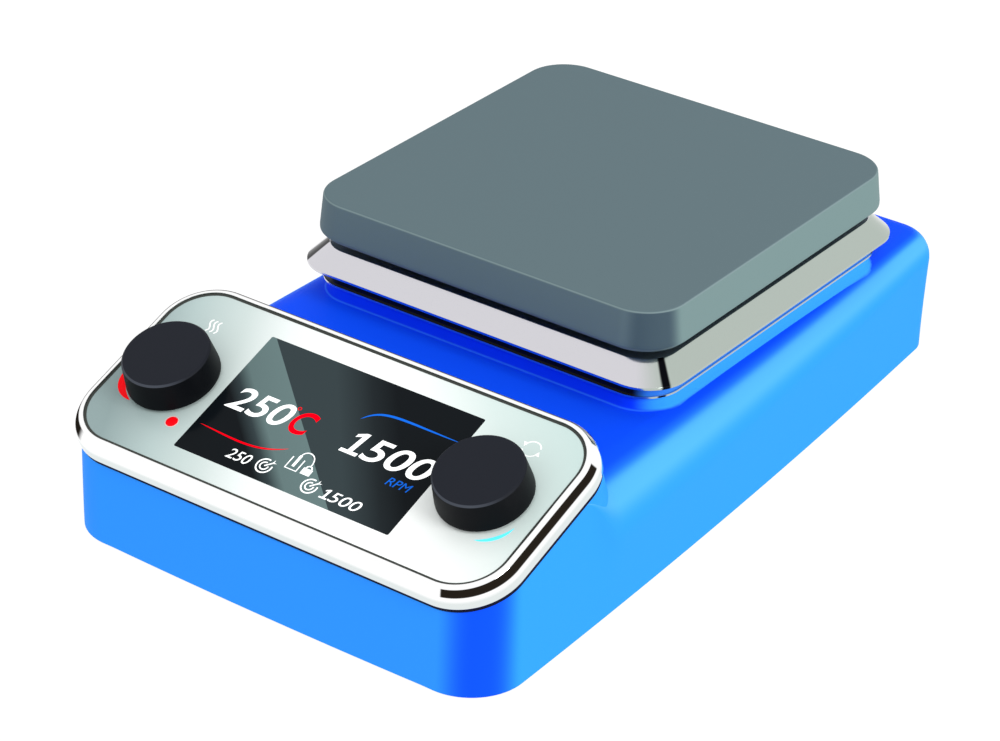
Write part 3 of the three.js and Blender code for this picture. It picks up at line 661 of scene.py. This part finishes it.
def plan_outline():
    """The right half of the housing's plan, front to rear: x, y and the outward normal."""
    front_y = BODY["front"] + BODY["front_corner"] + 1
    front_x = half_width(front_y) - BODY["front_corner"]
    rear_y = BODY["rear"] - BODY["rear_corner"]
    rear_x = half_width(rear_y) - BODY["rear_corner"]
    outline = []
    for i in range(8):
        x = front_x * (i + 0.5) / 8
        bow = x / BODY["front_bow"]
        outline.append(plan_point(x, BODY["front"] + x * bow / 2, -QUARTER + bow))
    start = -QUARTER + front_x / BODY["front_bow"]
    outline += plan_arc(front_x, front_y, BODY["front_corner"], start, side_turn(front_y), 18)
    stations = [front_y, CONSOLE["rear"], CONSOLE["deck_start"], rear_y]
    for near, far in zip(stations, stations[1:]):
        for i in range(1, 21):
            y = lerp(near, far, i / 20)
            outline.append(plan_point(half_width(y), y, side_turn(y)))
    outline.pop()
    outline += plan_arc(rear_x, rear_y, BODY["rear_corner"], side_turn(rear_y), QUARTER, 14)
    for part in (0.85, 0.5, 0.15):
        outline.append(plan_point(rear_x * part, BODY["rear"], QUARTER))
    return outline


def panel_plane_z(y, offset):
    return PANEL_Z + (y - PANEL_Y) * tan(PANEL_TILT) - offset / cos(PANEL_TILT)


def top_z(y):
    """The height of the housing's top along its middle line."""
    offset = BEZEL["depth"] + CONSOLE["gap"]
    if y <= CONSOLE["rear"]:
        return panel_plane_z(y, offset)
    if y >= CONSOLE["deck_start"]:
        return BODY["deck"]
    run = CONSOLE["deck_start"] - CONSOLE["rear"]
    rise = panel_plane_z(CONSOLE["rear"], offset) - BODY["deck"]
    radius = (run**2 + rise**2) / (2 * rise)
    return BODY["deck"] + radius - sqrt(radius**2 - (CONSOLE["deck_start"] - y) ** 2)


def shoulder_radius(y):
    on_deck = smooth(CONSOLE["rear"], CONSOLE["deck_start"], y)
    along = (y - CONSOLE["deck_start"]) / (BODY["rear"] - CONSOLE["deck_start"])
    deck_radius = lerp(SHOULDER["front"], SHOULDER["rear"], min(max(along, 0), 1))
    return lerp(SHOULDER["console"], deck_radius, on_deck)


def flare(point):
    """How far the wall leans out at its top."""
    _, y, nx, ny = point
    on_console = 1 - smooth(CONSOLE["rear"], CONSOLE["deck_start"], y)
    target = BEZEL["width"] / 2 - CONSOLE["overhang"] - half_width(y)
    front_lean = CONSOLE["front_lean"] if ny < 0 else 0
    return lerp(SIDE_DRAFT, target, on_console) * nx**2 + front_lean * ny**2


def housing_loop(outline, inset, wall_part, shoulder_angle=0):
    """One level of the housing, from the right half of its plan and that half's mirror image."""
    half = []
    for point in outline:
        x, y, nx, ny = point
        radius = max(shoulder_radius(y) - inset, 0.5)
        shift = flare(point) * wall_part**1.5 - inset - radius * (1 - cos(shoulder_angle))
        x += nx * shift
        y += ny * shift
        spring = top_z(y) - inset - radius
        half.append((x, y, lerp(BODY["floor"], spring, wall_part) + radius * sin(shoulder_angle)))
    return half + [(-x, y, z) for x, y, z in reversed(half)]


def housing_levels(inset):
    outline = plan_outline()
    loops = [housing_loop(outline, inset, level / 8) for level in range(9)]
    return loops + [housing_loop(outline, inset, 1, QUARTER * level / 12) for level in range(1, 13)]


def housing_shell():
    """The hollow blue casting: an outer and an inner skin, each with a top of strips across."""
    outer = housing_levels(0)
    inner = housing_levels(BODY["wall"])
    count = len(outer[0])
    points, faces = skin(outer, capped=False)
    inner_points, inner_faces = skin(inner, capped=False)
    start = len(points)
    faces += [tuple(start + i for i in reversed(face)) for face in inner_faces]
    faces += [(j, i, start + i, start + j) for i, j in ((i, (i + 1) % count) for i in range(count))]
    points += inner_points
    for top, flip in ((start - count, False), (len(points) - count, True)):
        for i in range(count // 2 - 1):
            strip = (top + i, top + i + 1, top + count - 2 - i, top + count - 1 - i)
            faces.append(tuple(reversed(strip)) if flip else strip)
    return points, faces


def crown():
    """The rim of the console that carries the bezel: a ring with the bezel's outline."""
    half_u, half_v = BEZEL["width"] / 2 - CROWN["inset"], BEZEL["height"] / 2 - CROWN["inset"]
    corner = BEZEL["corner"] - CROWN["inset"]
    bevel = CROWN["bevel"]
    top = CROWN["rise"] - BEZEL["depth"] - CONSOLE["gap"]
    low = top - CROWN["depth"]
    return skin([
        rounded_loop(half_u, half_v, corner, low),
        rounded_loop(half_u, half_v, corner, top - bevel),
        rounded_loop(half_u - bevel, half_v - bevel, corner - bevel, top),
        rounded_loop(*PANEL_HOLE, top),
        rounded_loop(*PANEL_HOLE, low),
    ], wrap=True)


def shaded_gasket():
    """The seal in the gap between the bezel and the housing, dark navy as painted shade in that gap."""
    low, high = -BEZEL["depth"] - CONSOLE["gap"], -BEZEL["depth"] - 0.1
    seal("panel_shaded_gasket", SEALS["shaded_gasket"], low, high, SHADED_GASKET)


def housing():
    panel_hole = tool(*swept(*PANEL_HOLE, [(0, -30), (0, 0)]), PANEL_PLACE)
    deck_hole = tool(*swept(*DECK_HOLE, [(0, 60), (0, 75)], PLATE_Y))
    shell = piece("housing_shell", *housing_shell(), BLUE)
    rear_holes = [rear_tool(spot["hole"], -12, 2, spot["x"], spot["z"]) for spot in (INLET, SWITCH)]
    for spot in (ROD_SOCKET, PROBE_SOCKET):
        radius = spot["outer"] + SOCKET_GAP
        rear_holes.append(rear_tool((radius, radius, radius - 0.01), -12, 2, 0, spot["z"]))
    carve(shell, [panel_hole, deck_hole, *rear_holes], 28)
    on_enclosure(shell, "blue_coat", "housing")
    on_enclosure(piece("housing_plinth", *plinth(), PLINTH_BLUE), "blue_coat", "housing")
    on_enclosure(piece("housing_crown", *crown(), BLUE, PANEL_PLACE), "blue_coat", "housing")
    shaded_gasket()


def surface_z(x, y):
    """The height of the housing's top at a point, shoulder included."""
    radius = shoulder_radius(y)
    edge = half_width(y) + SIDE_DRAFT - radius
    if abs(x) <= edge:
        return top_z(y)
    return top_z(y) - radius + sqrt(max(radius**2 - (abs(x) - edge) ** 2, 0))


def plinth():
    """The raised square under the plate, with a small fillet where it meets the deck."""
    foot, fillet, high = PLINTH["foot"], PLINTH["fillet"], PLINTH["top_z"]
    wall = rounded_loop(foot, foot, PLINTH["corner"], 0, PLATE_Y)
    outside = rounded_loop(foot + fillet, foot + fillet, PLINTH["corner"] + fillet, 0, PLATE_Y)
    loops = []
    for step in range(7):
        part = step / 6
        loop = []
        for (wx, wy, _), (ox, oy, _) in zip(wall, outside):
            foot_z = surface_z(ox, oy) - 0.05
            wall_z = surface_z(wx, wy)
            spread = (1 - part) ** 2
            z = spread * foot_z + 2 * part * (1 - part) * wall_z + part**2 * (wall_z + fillet)
            loop.append((lerp(wx, ox, spread), lerp(wy, oy, spread), z))
        loops.append(loop)
    draft = foot - PLINTH["top"]
    top = soften([(0, 72, 0), (draft, high, 1), (draft + 6, high, 0)])
    loops += [
        rounded_loop(foot - inset, foot - inset, PLINTH["corner"] - inset, z, PLATE_Y) for inset, z in top[1:]
    ]
    count = len(wall)
    under = high - PLINTH["wall"]
    inner = foot - 2 * PLINTH["wall"]
    loops += [circle_loop(PLINTH["hole"], z, count, y=PLATE_Y) for z in (high, under)]
    loops += [rounded_loop(inner, inner, 12, z, PLATE_Y) for z in (under, 60)]
    return skin(loops, capped=False)


# ---- underside


def at_corners(spots):
    """The names and places of four alike pieces, from the places of the two on the right."""
    for end, (x, y) in spots.items():
        yield f"{end}_left", -x, y
        yield f"{end}_right", x, y


def underside():
    seat = BODY["floor"] + 0.7
    rubber = soften([
        (0.5, 0, 0), (8, 0, 0.6), (9, 1.2, 0.5), (9, seat, 0.3), (3, seat, 0), (3, 13, 0), (0.5, 13, 0),
    ])
    for corner, x, y in at_corners(FEET):
        foot = piece(f"rubber_foot_{corner}", *turned(rubber, x=x, y=y), RUBBER)
        on_enclosure(foot, "rubber", f"foot_{corner}")
    recess = [(1.3, 8.9), (1.3, 7.9)]
    head = [(2.6, 7.8), (3.3, 8.1), (3.5, 8.6), (3.5, seat)]
    stem = [(1.5, seat), (1.5, 22), (0.3, 22)]
    for corner, x, y in at_corners(SCREWS):
        screw = piece(f"screw_{corner}", *turned(recess + head + stem, 36, x, y), ZINC)
        on_enclosure(screw, "zinc_steel", f"base_screw_{corner}")


# ---- plate and shield


def hot_plate():
    half, bottom, top = PLATE["half"], PLATE["bottom"], PLATE["top"]
    profile = soften([
        (2.6, bottom, 0.5),
        (0, bottom + 2.4, 1.0),
        (0, bottom + 4, 1.2),
        (1.7, top, 1.3),
        (30, top, 0),
        (30, bottom, 0),
    ])
    order = profile[-1:] + profile[:-1]
    plate = piece("hot_plate_top", *swept(half, half, PLATE["corner"], order, PLATE_Y, steps=20), PLATE_COAT)
    on_enclosure(plate, "plate_coat", "hot_plate")


def shield_loop(inset, z):
    half = SHIELD["rim_half"] - inset
    return rounded_loop(half, half, SHIELD["corner"] - 0.45 * inset, z, PLATE_Y)


def heat_shield():
    """A sloping skirt of polished steel with a level top, open in the middle."""
    low, high = SHIELD["rim_z"], SHIELD["top_z"]
    under = high - STEEL_SHEET
    slope = SHIELD["rim_half"] - SHIELD["top_half"]
    ledge = slope + 5
    outer = soften([
        (0.5, low, 0),
        (0, low, 0.25),
        (0, low + 1.2, 0.4),
        (slope, high - 1.2, 1.5),
        (slope + 1.2, high, 0.8),
        (ledge, high, 0),
    ])
    inner = [(ledge, under), (slope + 1.6, under), (1.4, low + 0.8), (STEEL_SHEET, low)]
    ring = [shield_loop(inset, z) for inset, z in outer]
    count = len(ring[0])
    ring += [circle_loop(SHIELD["opening"], z, count, y=PLATE_Y) for z in (high, under)]
    ring += [shield_loop(inset, z) for inset, z in inner]
    shield = piece("shield_skirt", *skin(ring, wrap=True), STEEL)
    reach, radius = STANDOFF["reach"], STANDOFF["radius"]
    drill = [(radius, 85), (radius, 100)]
    holes = [tool(*turned(drill, 32, x, PLATE_Y + y)) for x in (-reach, reach) for y in (-reach, reach)]
    carve(shield, holes)
    on_enclosure(shield, "polished_steel", "heat_shield")
    shield_collar()


def shield_collar():
    """The upright band between the skirt and the plinth, and the folded edge it stands on."""
    half, low, high, flange = COLLAR["half"], COLLAR["bottom_z"], COLLAR["top_z"], COLLAR["flange"]
    fold = low + COLLAR["fold"]
    for name, look, profile in (
        ("shield_collar", COLLAR_STEEL, [(0, fold), (0, high), (STEEL_SHEET, high), (STEEL_SHEET, fold)]),
        ("shield_edge", STEEL, [(-flange, low), (-flange, fold), (STEEL_SHEET, fold), (STEEL_SHEET, low)]),
    ):
        band_shape = swept(half, half, COLLAR["corner"], profile, PLATE_Y, wrap=True)
        on_enclosure(piece(name, *band_shape, look), "polished_steel", "heat_shield")


# ---- control panel


def round_the_bezel(profile):
    return swept(BEZEL["width"] / 2, BEZEL["height"] / 2, BEZEL["corner"], profile, wrap=True, steps=24)


def seal(name, insets, low, high, look):
    """A flat ring that follows the bezel, between two distances in from its outline."""
    outer, inner = insets
    shape = round_the_bezel([(outer, low), (outer, high), (inner, high), (inner, low)])
    on_enclosure(piece(name, *shape, look, PANEL_PLACE), "rubber")


def bezel():
    """The chrome frame: an upright band, a facet leaning in over it and a narrow level lip. Its points are
    given in the world's frame, because its material reads the direction of the surface there."""
    low, lip_rise, lip_end = -BEZEL["depth"], BEZEL["lip_rise"], BEZEL["lip_end"]
    profile = soften([
        (0, low, 0.3),
        (0, -BEZEL["facet_drop"], 7.5),
        (BEZEL["facet_reach"], lip_rise, 2.5),
        (lip_end, lip_rise, 0.3),
        (lip_end, BEZEL["seat"], 0),
        (BEZEL["back"], BEZEL["seat"], 0),
        (BEZEL["back"], low, 0),
    ])
    points, faces = round_the_bezel(profile)
    world_points = [tuple(PANEL_PLACE @ (Vector(point) * MM) / MM) for point in points]
    on_enclosure(piece("chrome_bezel", world_points, faces, CHROME), "chrome", "panel_bezel")
    seal("glass_seal", SEALS["glass"], 0.02, 0.12, SEAL)


def panel_drill(radius, count, u, v):
    return tool(*turned([(radius, -6), (radius, 2)], count, u, v), PANEL_PLACE)


def fascia():
    profile = soften([(0, -FASCIA["depth"], 0), (0, 0, 0.35), (5, 0, 0)])[:-1]
    sheet = swept(FASCIA["width"] / 2, FASCIA["height"] / 2, FASCIA["corner"], profile, steps=24)
    glass = piece("fascia_glass", *sheet, SILVER, PANEL_PLACE)
    holes = [panel_drill(KNOB["shaft_hole"], 40, u, v) for u, v in KNOBS.values()]
    carve(glass, [*holes, panel_drill(INDICATOR_RADIUS + 0.2, 32, *INDICATOR)])
    on_enclosure(glass, "fascia", "panel_fascia")


def inlay(name, outline, look=INK_WHITE, slot="screen", height=0.05):
    """A thin flat shape lying on the panel, drawn by the points of its outline."""
    loops = [[(u, v, w) for u, v in outline] for w in (height - 0.03, height)]
    obj = piece(name, *skin(loops), look, PANEL_PLACE)
    on_enclosure(obj, slot)


def stroke(points, width):
    """The outline of a line of changing width. width is a function of the way along, 0 to 1."""
    left, right = [], []
    for i, (u, v) in enumerate(points):
        near = Vector(points[max(i - 1, 0)])
        far = Vector(points[min(i + 1, len(points) - 1)])
        along = (far - near).normalized()
        reach = width(i / (len(points) - 1)) / 2
        left.append((u - along.y * reach, v + along.x * reach))
        right.append((u + along.y * reach, v - along.x * reach))
    return right + left[::-1]


def arc_points(u, v, radius, start, end, steps=40):
    """Points along an arc, its angles in degrees."""
    angles = [radians(lerp(start, end, i / steps)) for i in range(steps + 1)]
    return [(u + radius * cos(a), v + radius * sin(a)) for a in angles]


def curve_points(start, pull_a, pull_b, end, steps=32):
    """Points along a cubic curve."""
    points = []
    for i in range(steps + 1):
        t = i / steps
        weights = ((1 - t) ** 3, 3 * t * (1 - t) ** 2, 3 * t**2 * (1 - t), t**3)
        corners = (start, pull_a, pull_b, end)
        points.append(tuple(sum(w * c[axis] for w, c in zip(weights, corners)) for axis in (0, 1)))
    return points


def even(width):
    return lambda part: width


def tapered(width):
    return lambda part: 0.05 + width * sin(pi * part) ** 0.6


def lettering(name, text, left, base, width, height, look=INK_WHITE, bold=0.0):
    """Figures or letters fitted to a box on the display, its lower left corner at (left, base)."""
    curve = bpy.data.curves.new(name, "FONT")
    curve.body = text
    curve.offset = bold
    curve.resolution_u = 8
    source = bpy.data.objects.new(name, curve)
    mesh = bpy.data.meshes.new_from_object(source)
    bpy.data.objects.remove(source)
    for vertex in mesh.vertices:
        vertex.co.x += SLANT * vertex.co.y
    us = [vertex.co.x for vertex in mesh.vertices]
    vs = [vertex.co.y for vertex in mesh.vertices]
    scale_u = width * MM / (max(us) - min(us))
    scale_v = height * MM / (max(vs) - min(vs))
    for vertex in mesh.vertices:
        vertex.co.x = left * MM + (vertex.co.x - min(us)) * scale_u
        vertex.co.y = base * MM + (vertex.co.y - min(vs)) * scale_v
        vertex.co.z = 0.05 * MM
    mesh.materials.clear()
    mesh.materials.append(look)
    obj = new_object(name, mesh)
    obj.matrix_world = PANEL_PLACE
    on_enclosure(obj, "screen")


def figure_one(name, left, base, height):
    """The figure 1 with a flag and a foot, as wide as 0.7 of its height."""
    foot = [(0, 0), (0.7, 0), (0.7, 0.14), (0.45, 0.14)]
    head = [(0.45, 1), (0.3, 1), (0.04, 0.86), (0.04, 0.72), (0.26, 0.82)]
    heel = [(0.26, 0.14), (0, 0.14)]
    outline = [(left + height * (u + SLANT * v), base + height * v) for u, v in foot + head + heel]
    inlay(name, outline)


def screen():
    window = rounded_loop(DISPLAY["half_u"], DISPLAY["half_v"], DISPLAY["corner"], 0, steps=6)
    inlay("display_glass", [(u, v - DISPLAY["drop"]) for u, v, _ in window], SCREEN, height=0.02)
    lettering("digits_heat", "250", -50.6, -7.2, 31.2, 12.8, bold=0.012)
    lettering("letter_heat", "C", -18.2, -7.2, 10.6, 12.8, INK_RED, bold=0.02)
    inlay_ring("degree_ring", -19.2, 5.2, 0.75, 0.35, look=INK_RED)
    figure_one("digit_speed", 9.6, -6.2, 12.4)
    lettering("digits_speed", "500", 19.4, -6.2, 33.8, 12.4, bold=0.012)
    lettering("letters_speed", "RPM", 38.3, -12.8, 11.8, 4.1, INK_BLUE)
    lettering("digits_heat_set", "250", -32.2, -29.6, 11.8, 5.3)
    figure_one("digit_speed_set", 17.6, -30.3, 5.3)
    lettering("digits_speed_set", "500", 21.8, -30.3, 15.4, 5.3)
    heat_line = curve_points((-53.4, -19.4), (-34, -20.4), (-22, -22.6), (-9.7, -14.7))
    inlay("line_heat", stroke(heat_line, tapered(0.9)), INK_RED)
    speed_line = curve_points((7.8, 11.6), (14, 20.8), (22, 18.4), (54.5, 18.6))
    inlay("line_speed", stroke(speed_line, tapered(1.1)), INK_BLUE)
    for name, u, v in (("heat_target", -13.4, -26.5), ("speed_target", 10.8, -27.2)):
        target_icon(name, u, v)
    sensor_icon()


def inlay_ring(name, u, v, radius, width, start=0, end=360, look=INK_WHITE, slot="screen"):
    """A ring, or an arc from start to end in degrees, lying on the panel."""
    inlay(name, stroke(arc_points(u, v, radius, start, end), even(width)), look, slot)


def target_icon(name, u, v):
    """Two rings round a dot with an arrow let into it from the upper right."""
    inlay_ring(f"{name}_outer", u, v, 3.6, 0.65, 75, 375)
    inlay_ring(f"{name}_inner", u, v, 1.9, 0.6, 80, 370)
    inlay(f"{name}_arrow", stroke([(u, v), (u + 2.6, v + 2.6)], even(0.6)))
    inlay(f"{name}_head", [(u + 2.2, v + 2.2), (u + 4.4, v + 2.9), (u + 3.0, v + 3.0), (u + 2.9, v + 4.4)])


def sensor_icon():
    """A beaker with a probe in it, and a padlock on the probe's lead."""
    glass = [(-5.2, -17), (-5.2, -23.3), (0.6, -23.3), (0.6, -17)]
    inlay("icon_beaker", stroke(glass, even(0.55)))
    inlay("icon_probe", stroke([(-2.3, -21.6), (-2.3, -15.4)], even(1.3)))
    lead = curve_points((-2.3, -15.4), (-2.2, -11.6), (4.8, -11.6), (4.9, -18.4))
    inlay("icon_lead", stroke(lead, even(0.5)))
    inlay("icon_lock", [(2.6, -23.3), (7.2, -23.3), (7.2, -20), (2.6, -20)])
    inlay_ring("icon_shackle", 4.9, -20, 1.4, 0.6, 0, 180)


def printed_icons():
    """Three rising waves over the heat knob, and two arrows chasing round over the speed knob."""
    for index, u in enumerate((-85.7, -83.5, -81.3)):
        wave = curve_points((u, 24), (u + 2.9, 26.2), (u - 2.9, 28.3), (u, 30.5))
        inlay(f"heat_wave_{index + 1}", stroke(wave, even(0.75)), PALE_PRINT, "fascia")
    u, v, radius = 82.3, 28.4, 3.9
    for index, start in enumerate((20, 200)):
        inlay_ring(f"stir_arc_{index + 1}", u, v, radius, 0.6, start, start + 135, PALE_PRINT, "fascia")
        tip = radians(start + 160)
        out = Vector((cos(tip), sin(tip)))
        back = Vector((out.y, -out.x)) * 2.4
        centre = Vector((u, v)) + out * radius
        head = [centre, centre + back + out * 1.3, centre + back - out * 1.3]
        inlay(f"stir_head_{index + 1}", [tuple(point) for point in head], PALE_PRINT, "fascia")


def crescent(name, centre, mid, span, look, slot, inner, thickness):
    """A crescent of light round a point. mid is its direction and span its reach, both in degrees."""
    steps = 32
    u, v = centre
    outer_edge, inner_edge = [], []
    for i in range(steps + 1):
        angle = radians(mid - span / 2 + span * i / steps)
        swell = thickness * sin(pi * i / steps) ** 0.8
        for edge, radius in ((outer_edge, inner + swell + 0.02), (inner_edge, inner)):
            edge.append((u + radius * cos(angle), v + radius * sin(angle)))
    inlay(name, outer_edge + inner_edge[::-1], look, slot)


def knob(name):
    """A satin knob with a skirt, a bevelled rim and a hollow underside."""
    base, top, low, high = KNOB["base"], KNOB["top"], KNOB["bottom_w"], KNOB["top_w"]
    hollow, ceiling = base - KNOB["wall"], high - KNOB["wall"]
    profile = soften([
        (0.4, ceiling, 0),
        (hollow, ceiling, 0),
        (hollow, low, 0),
        (base, low, 0.3),
        (base, low + 1.5, 0.5),
        (top, high - 0.9, 0.4),
        (top - 0.9, high, 0.5),
        (0.4, high, 0),
    ])
    obj = piece(f"{name}_knob_cap", *turned(profile, 120, *KNOBS[name]), KNOB_BLACK, PANEL_PLACE)
    fitted(obj, f"{name}_knob", "knob_black", f"{name}_knob")


def indicator():
    radius = INDICATOR_RADIUS
    profile = soften([(radius, -8, 0), (radius, 0.15, 0.3), (radius - 1, 0.5, 1.2), (0.2, 0.6, 0)])
    obj = piece("hot_indicator_dome", *turned(profile, 40, *INDICATOR), RED_LIGHT, PANEL_PLACE)
    on_enclosure(obj, "red_light", "hot_indicator")
    inlay_ring("indicator_halo", *INDICATOR, radius + 0.3, 0.4, look=HALO_PRINT, slot="fascia")


# ---- rear connections


def shifted(shape, x, z):
    """A shape drawn facing the viewer at the rear, moved to its place on the rear wall."""
    points, faces = shape
    return [(px + x, py - z, pz) for px, py, pz in points], faces


def rear_tool(size, low, high, x, z, steps=14):
    """A cutter of a size (half width, half height, corner), from low to high out of the rear wall."""
    return tool(*shifted(swept(*size, [(0, low), (0, high)], steps=steps), x, z), REAR_PLACE)


def flanged(reach, depth, seat, edge):
    """A profile for swept(): a barrel of a depth, a flange that reaches out from it, and a rounded edge."""
    barrel = [(reach, -depth, 0), (reach, seat, 0)]
    return soften([*barrel, (0, seat, 0), (0, REAR_PROUD, edge), (5, REAR_PROUD, 0)])[:-1]


def rear_block(name, spot, cutters, node):
    """A flanged black part in the rear wall, with hollows cut into it."""
    profile = flanged(2.6, spot["depth"], 0.3, 0.6)
    shape = shifted(swept(*spot["flange"], profile, steps=8), spot["x"], spot["z"])
    block = carve(piece(name, *shape, BLACK_PLASTIC, REAR_PLACE), cutters)
    on_enclosure(block, "black_plastic", node)


def rear_connections():
    x, z = INLET["x"], INLET["z"]
    mouth = rear_tool((12.2, 8.3, 2), -13, 4, x, z + 7, 6)
    drawer_slot = rear_tool(DRAWER["slot"], -24, 4, x, z - DRAWER["drop"], 4)
    rear_block("inlet_body", INLET, [mouth, drawer_slot], "mains_inlet")
    well = rear_tool((7, 10, 0.8), -14, 4, SWITCH["x"], SWITCH["z"], 4)
    rear_block("switch_body", SWITCH, [well], "switch_frame")
    fuse_drawer()
    switch_rocker()
    socket("rod_socket", ROD_SOCKET)
    socket("probe_socket", PROBE_SOCKET)


def fuse_drawer():
    profile = flanged(0.5, DRAWER["depth"], 0.4, 0.4)
    shape = shifted(swept(*DRAWER["face"], profile, steps=6), INLET["x"], INLET["z"] - DRAWER["drop"])
    drawer = piece("fuse_drawer_front", *shape, BLACK_PLASTIC, REAR_PLACE)
    fitted(drawer, "fuse_drawer", "black_plastic", "fuse_drawer")


def switch_rocker():
    """The rocker's paddle: two flat faces that meet at an angle, with the lower end standing out."""
    half = 8.8
    edge = [(-half, -4), (half, -4), (half, 0.4), (0, 2.2), (-half, 3.1)]
    loops = []
    for x in (-6.5, 6.5):
        loops.append([(SWITCH["x"] + x, -(SWITCH["z"] + height), out) for height, out in edge])
    paddle = piece("rocker_paddle", *skin(loops), BLACK_PLASTIC, REAR_PLACE)
    fitted(paddle, "power_rocker", "black_plastic", "switch_rocker")


def socket(node, spot):
    outer, bore, depth, proud = spot["outer"], spot["bore"], spot["depth"], spot["proud"]
    profile = soften([(outer, -depth, 0), (outer, proud, 0.2), (bore, proud, 0.2), (bore, -depth, 0)])
    tube = piece(f"{node}_tube", *shifted(turned(profile, 56, wrap=True), 0, spot["z"]), NICKEL, REAR_PLACE)
    on_enclosure(tube, "nickel", node)


# ---- CAD nodes that are shown as they are

KEPT_LOOKS = (
    (ZINC, "base_plate", "motor_bracket", "heat_encoder", "speed_encoder"),
    (ALUMINIUM, "heating_element", "magnet_holder", "heat_sink"),
    (NICKEL, "temperature_sensor", "motor_shaft", "magnet_", "heat_shaft", "speed_shaft", "inlet_pin"),
    (CERAMIC, "plate_standoff", "fuse"),
    (BLACK_PLASTIC, "display_module", "heater_relay"),
    (BRASS, "heat_plunger", "speed_plunger", "board_spacer"),
    (BOARD, "control_board", "main_board"),
    (WOOL, "insulation_ring"),
    (MOTOR_BLACK, "drive_motor"),
    (RED_LIGHT, "heat_light_guide"),
    (CYAN_LIGHT, "speed_light_guide"),
    (COPPER, "mains_transformer"),
)


def dress_kept_nodes():
    """Each node that shows takes the look whose longest entry begins its name."""
    looks = {start: look for look, *starts in KEPT_LOOKS for start in starts}
    for name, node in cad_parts.items():
        if node.hide_render:
            continue
        match = max((start for start in looks if name.startswith(start)), key=len)
        node.data.materials.clear()
        node.data.materials.append(looks[match])


# ---- studio


def studio_floor():
    look = new_look("studio_floor", (0.05, 0.05, 0.05), 0.9, specular=0)
    set_sockets(principled(look), {"Emission Color": (1, 1, 1, 1), "Emission Strength": 1.0})
    reach = 6000
    corners = [(-reach, -reach, 0), (reach, -reach, 0), (reach, reach, 0), (-reach, reach, 0)]
    floor = piece("studio_floor", corners, [(0, 1, 2, 3)], look)


def soft_light(name, place, size, power):
    """A round lamp that shines on the middle of the object."""
    data = bpy.data.lights.new(name, "AREA")
    data.shape = "DISK"
    data.size = size
    data.energy = power
    lamp = new_object(name, data)
    lamp.location = place
    direction = Vector((0, 0, 0.06)) - Vector(place)
    lamp.rotation_euler = direction.to_track_quat("-Z", "Y").to_euler()


def world_light():
    world = bpy.data.worlds.new("studio")
    bpy.context.scene.world = world
    world.use_nodes = True
    set_sockets(world.node_tree.nodes["Background"], {"Color": (1, 1, 1, 1), "Strength": 1.0})


def camera():
    """A camera whose direction is given by its azimuth and elevation round the object, and its roll."""
    azimuth, elevation, roll = [radians(angle) for angle in CAMERA["turns"]]
    back = Vector((sin(azimuth) * cos(elevation), -cos(azimuth) * cos(elevation), sin(elevation)))
    level = Vector((0, 0, 1)).cross(back).normalized()
    upright = back.cross(level)
    right = level * cos(roll) + upright * sin(roll)
    up = upright * cos(roll) - level * sin(roll)
    data = bpy.data.cameras.new("photo_camera")
    data.sensor_width = 36
    data.lens = CAMERA["lens"]
    data.clip_end = 50
    obj = new_object("photo_camera", data)
    turn = Matrix((right, up, back)).transposed().to_4x4()
    obj.matrix_world = Matrix.Translation(CAMERA["place"]) @ turn
    bpy.context.scene.camera = obj


# ---- build

housing()
underside()
hot_plate()
heat_shield()
bezel()
fascia()
screen()
printed_icons()
crescent("heat_glow", (-80.9, -3.6), 214, 60, RED_LIGHT, "red_light", inner=20.6, thickness=3.5)
crescent("speed_glow", (79.5, -1), 317, 44, CYAN_LIGHT, "cyan_light", inner=22.0, thickness=1.7)
knob("heat")
knob("speed")
indicator()
rear_connections()
dress_kept_nodes()

world_light()
studio_floor()
soft_light("right_softbox", (2.2, -0.4, 1.4), size=1.2, power=30)
camera()
bpy.context.scene.view_settings.view_transform = "Standard"
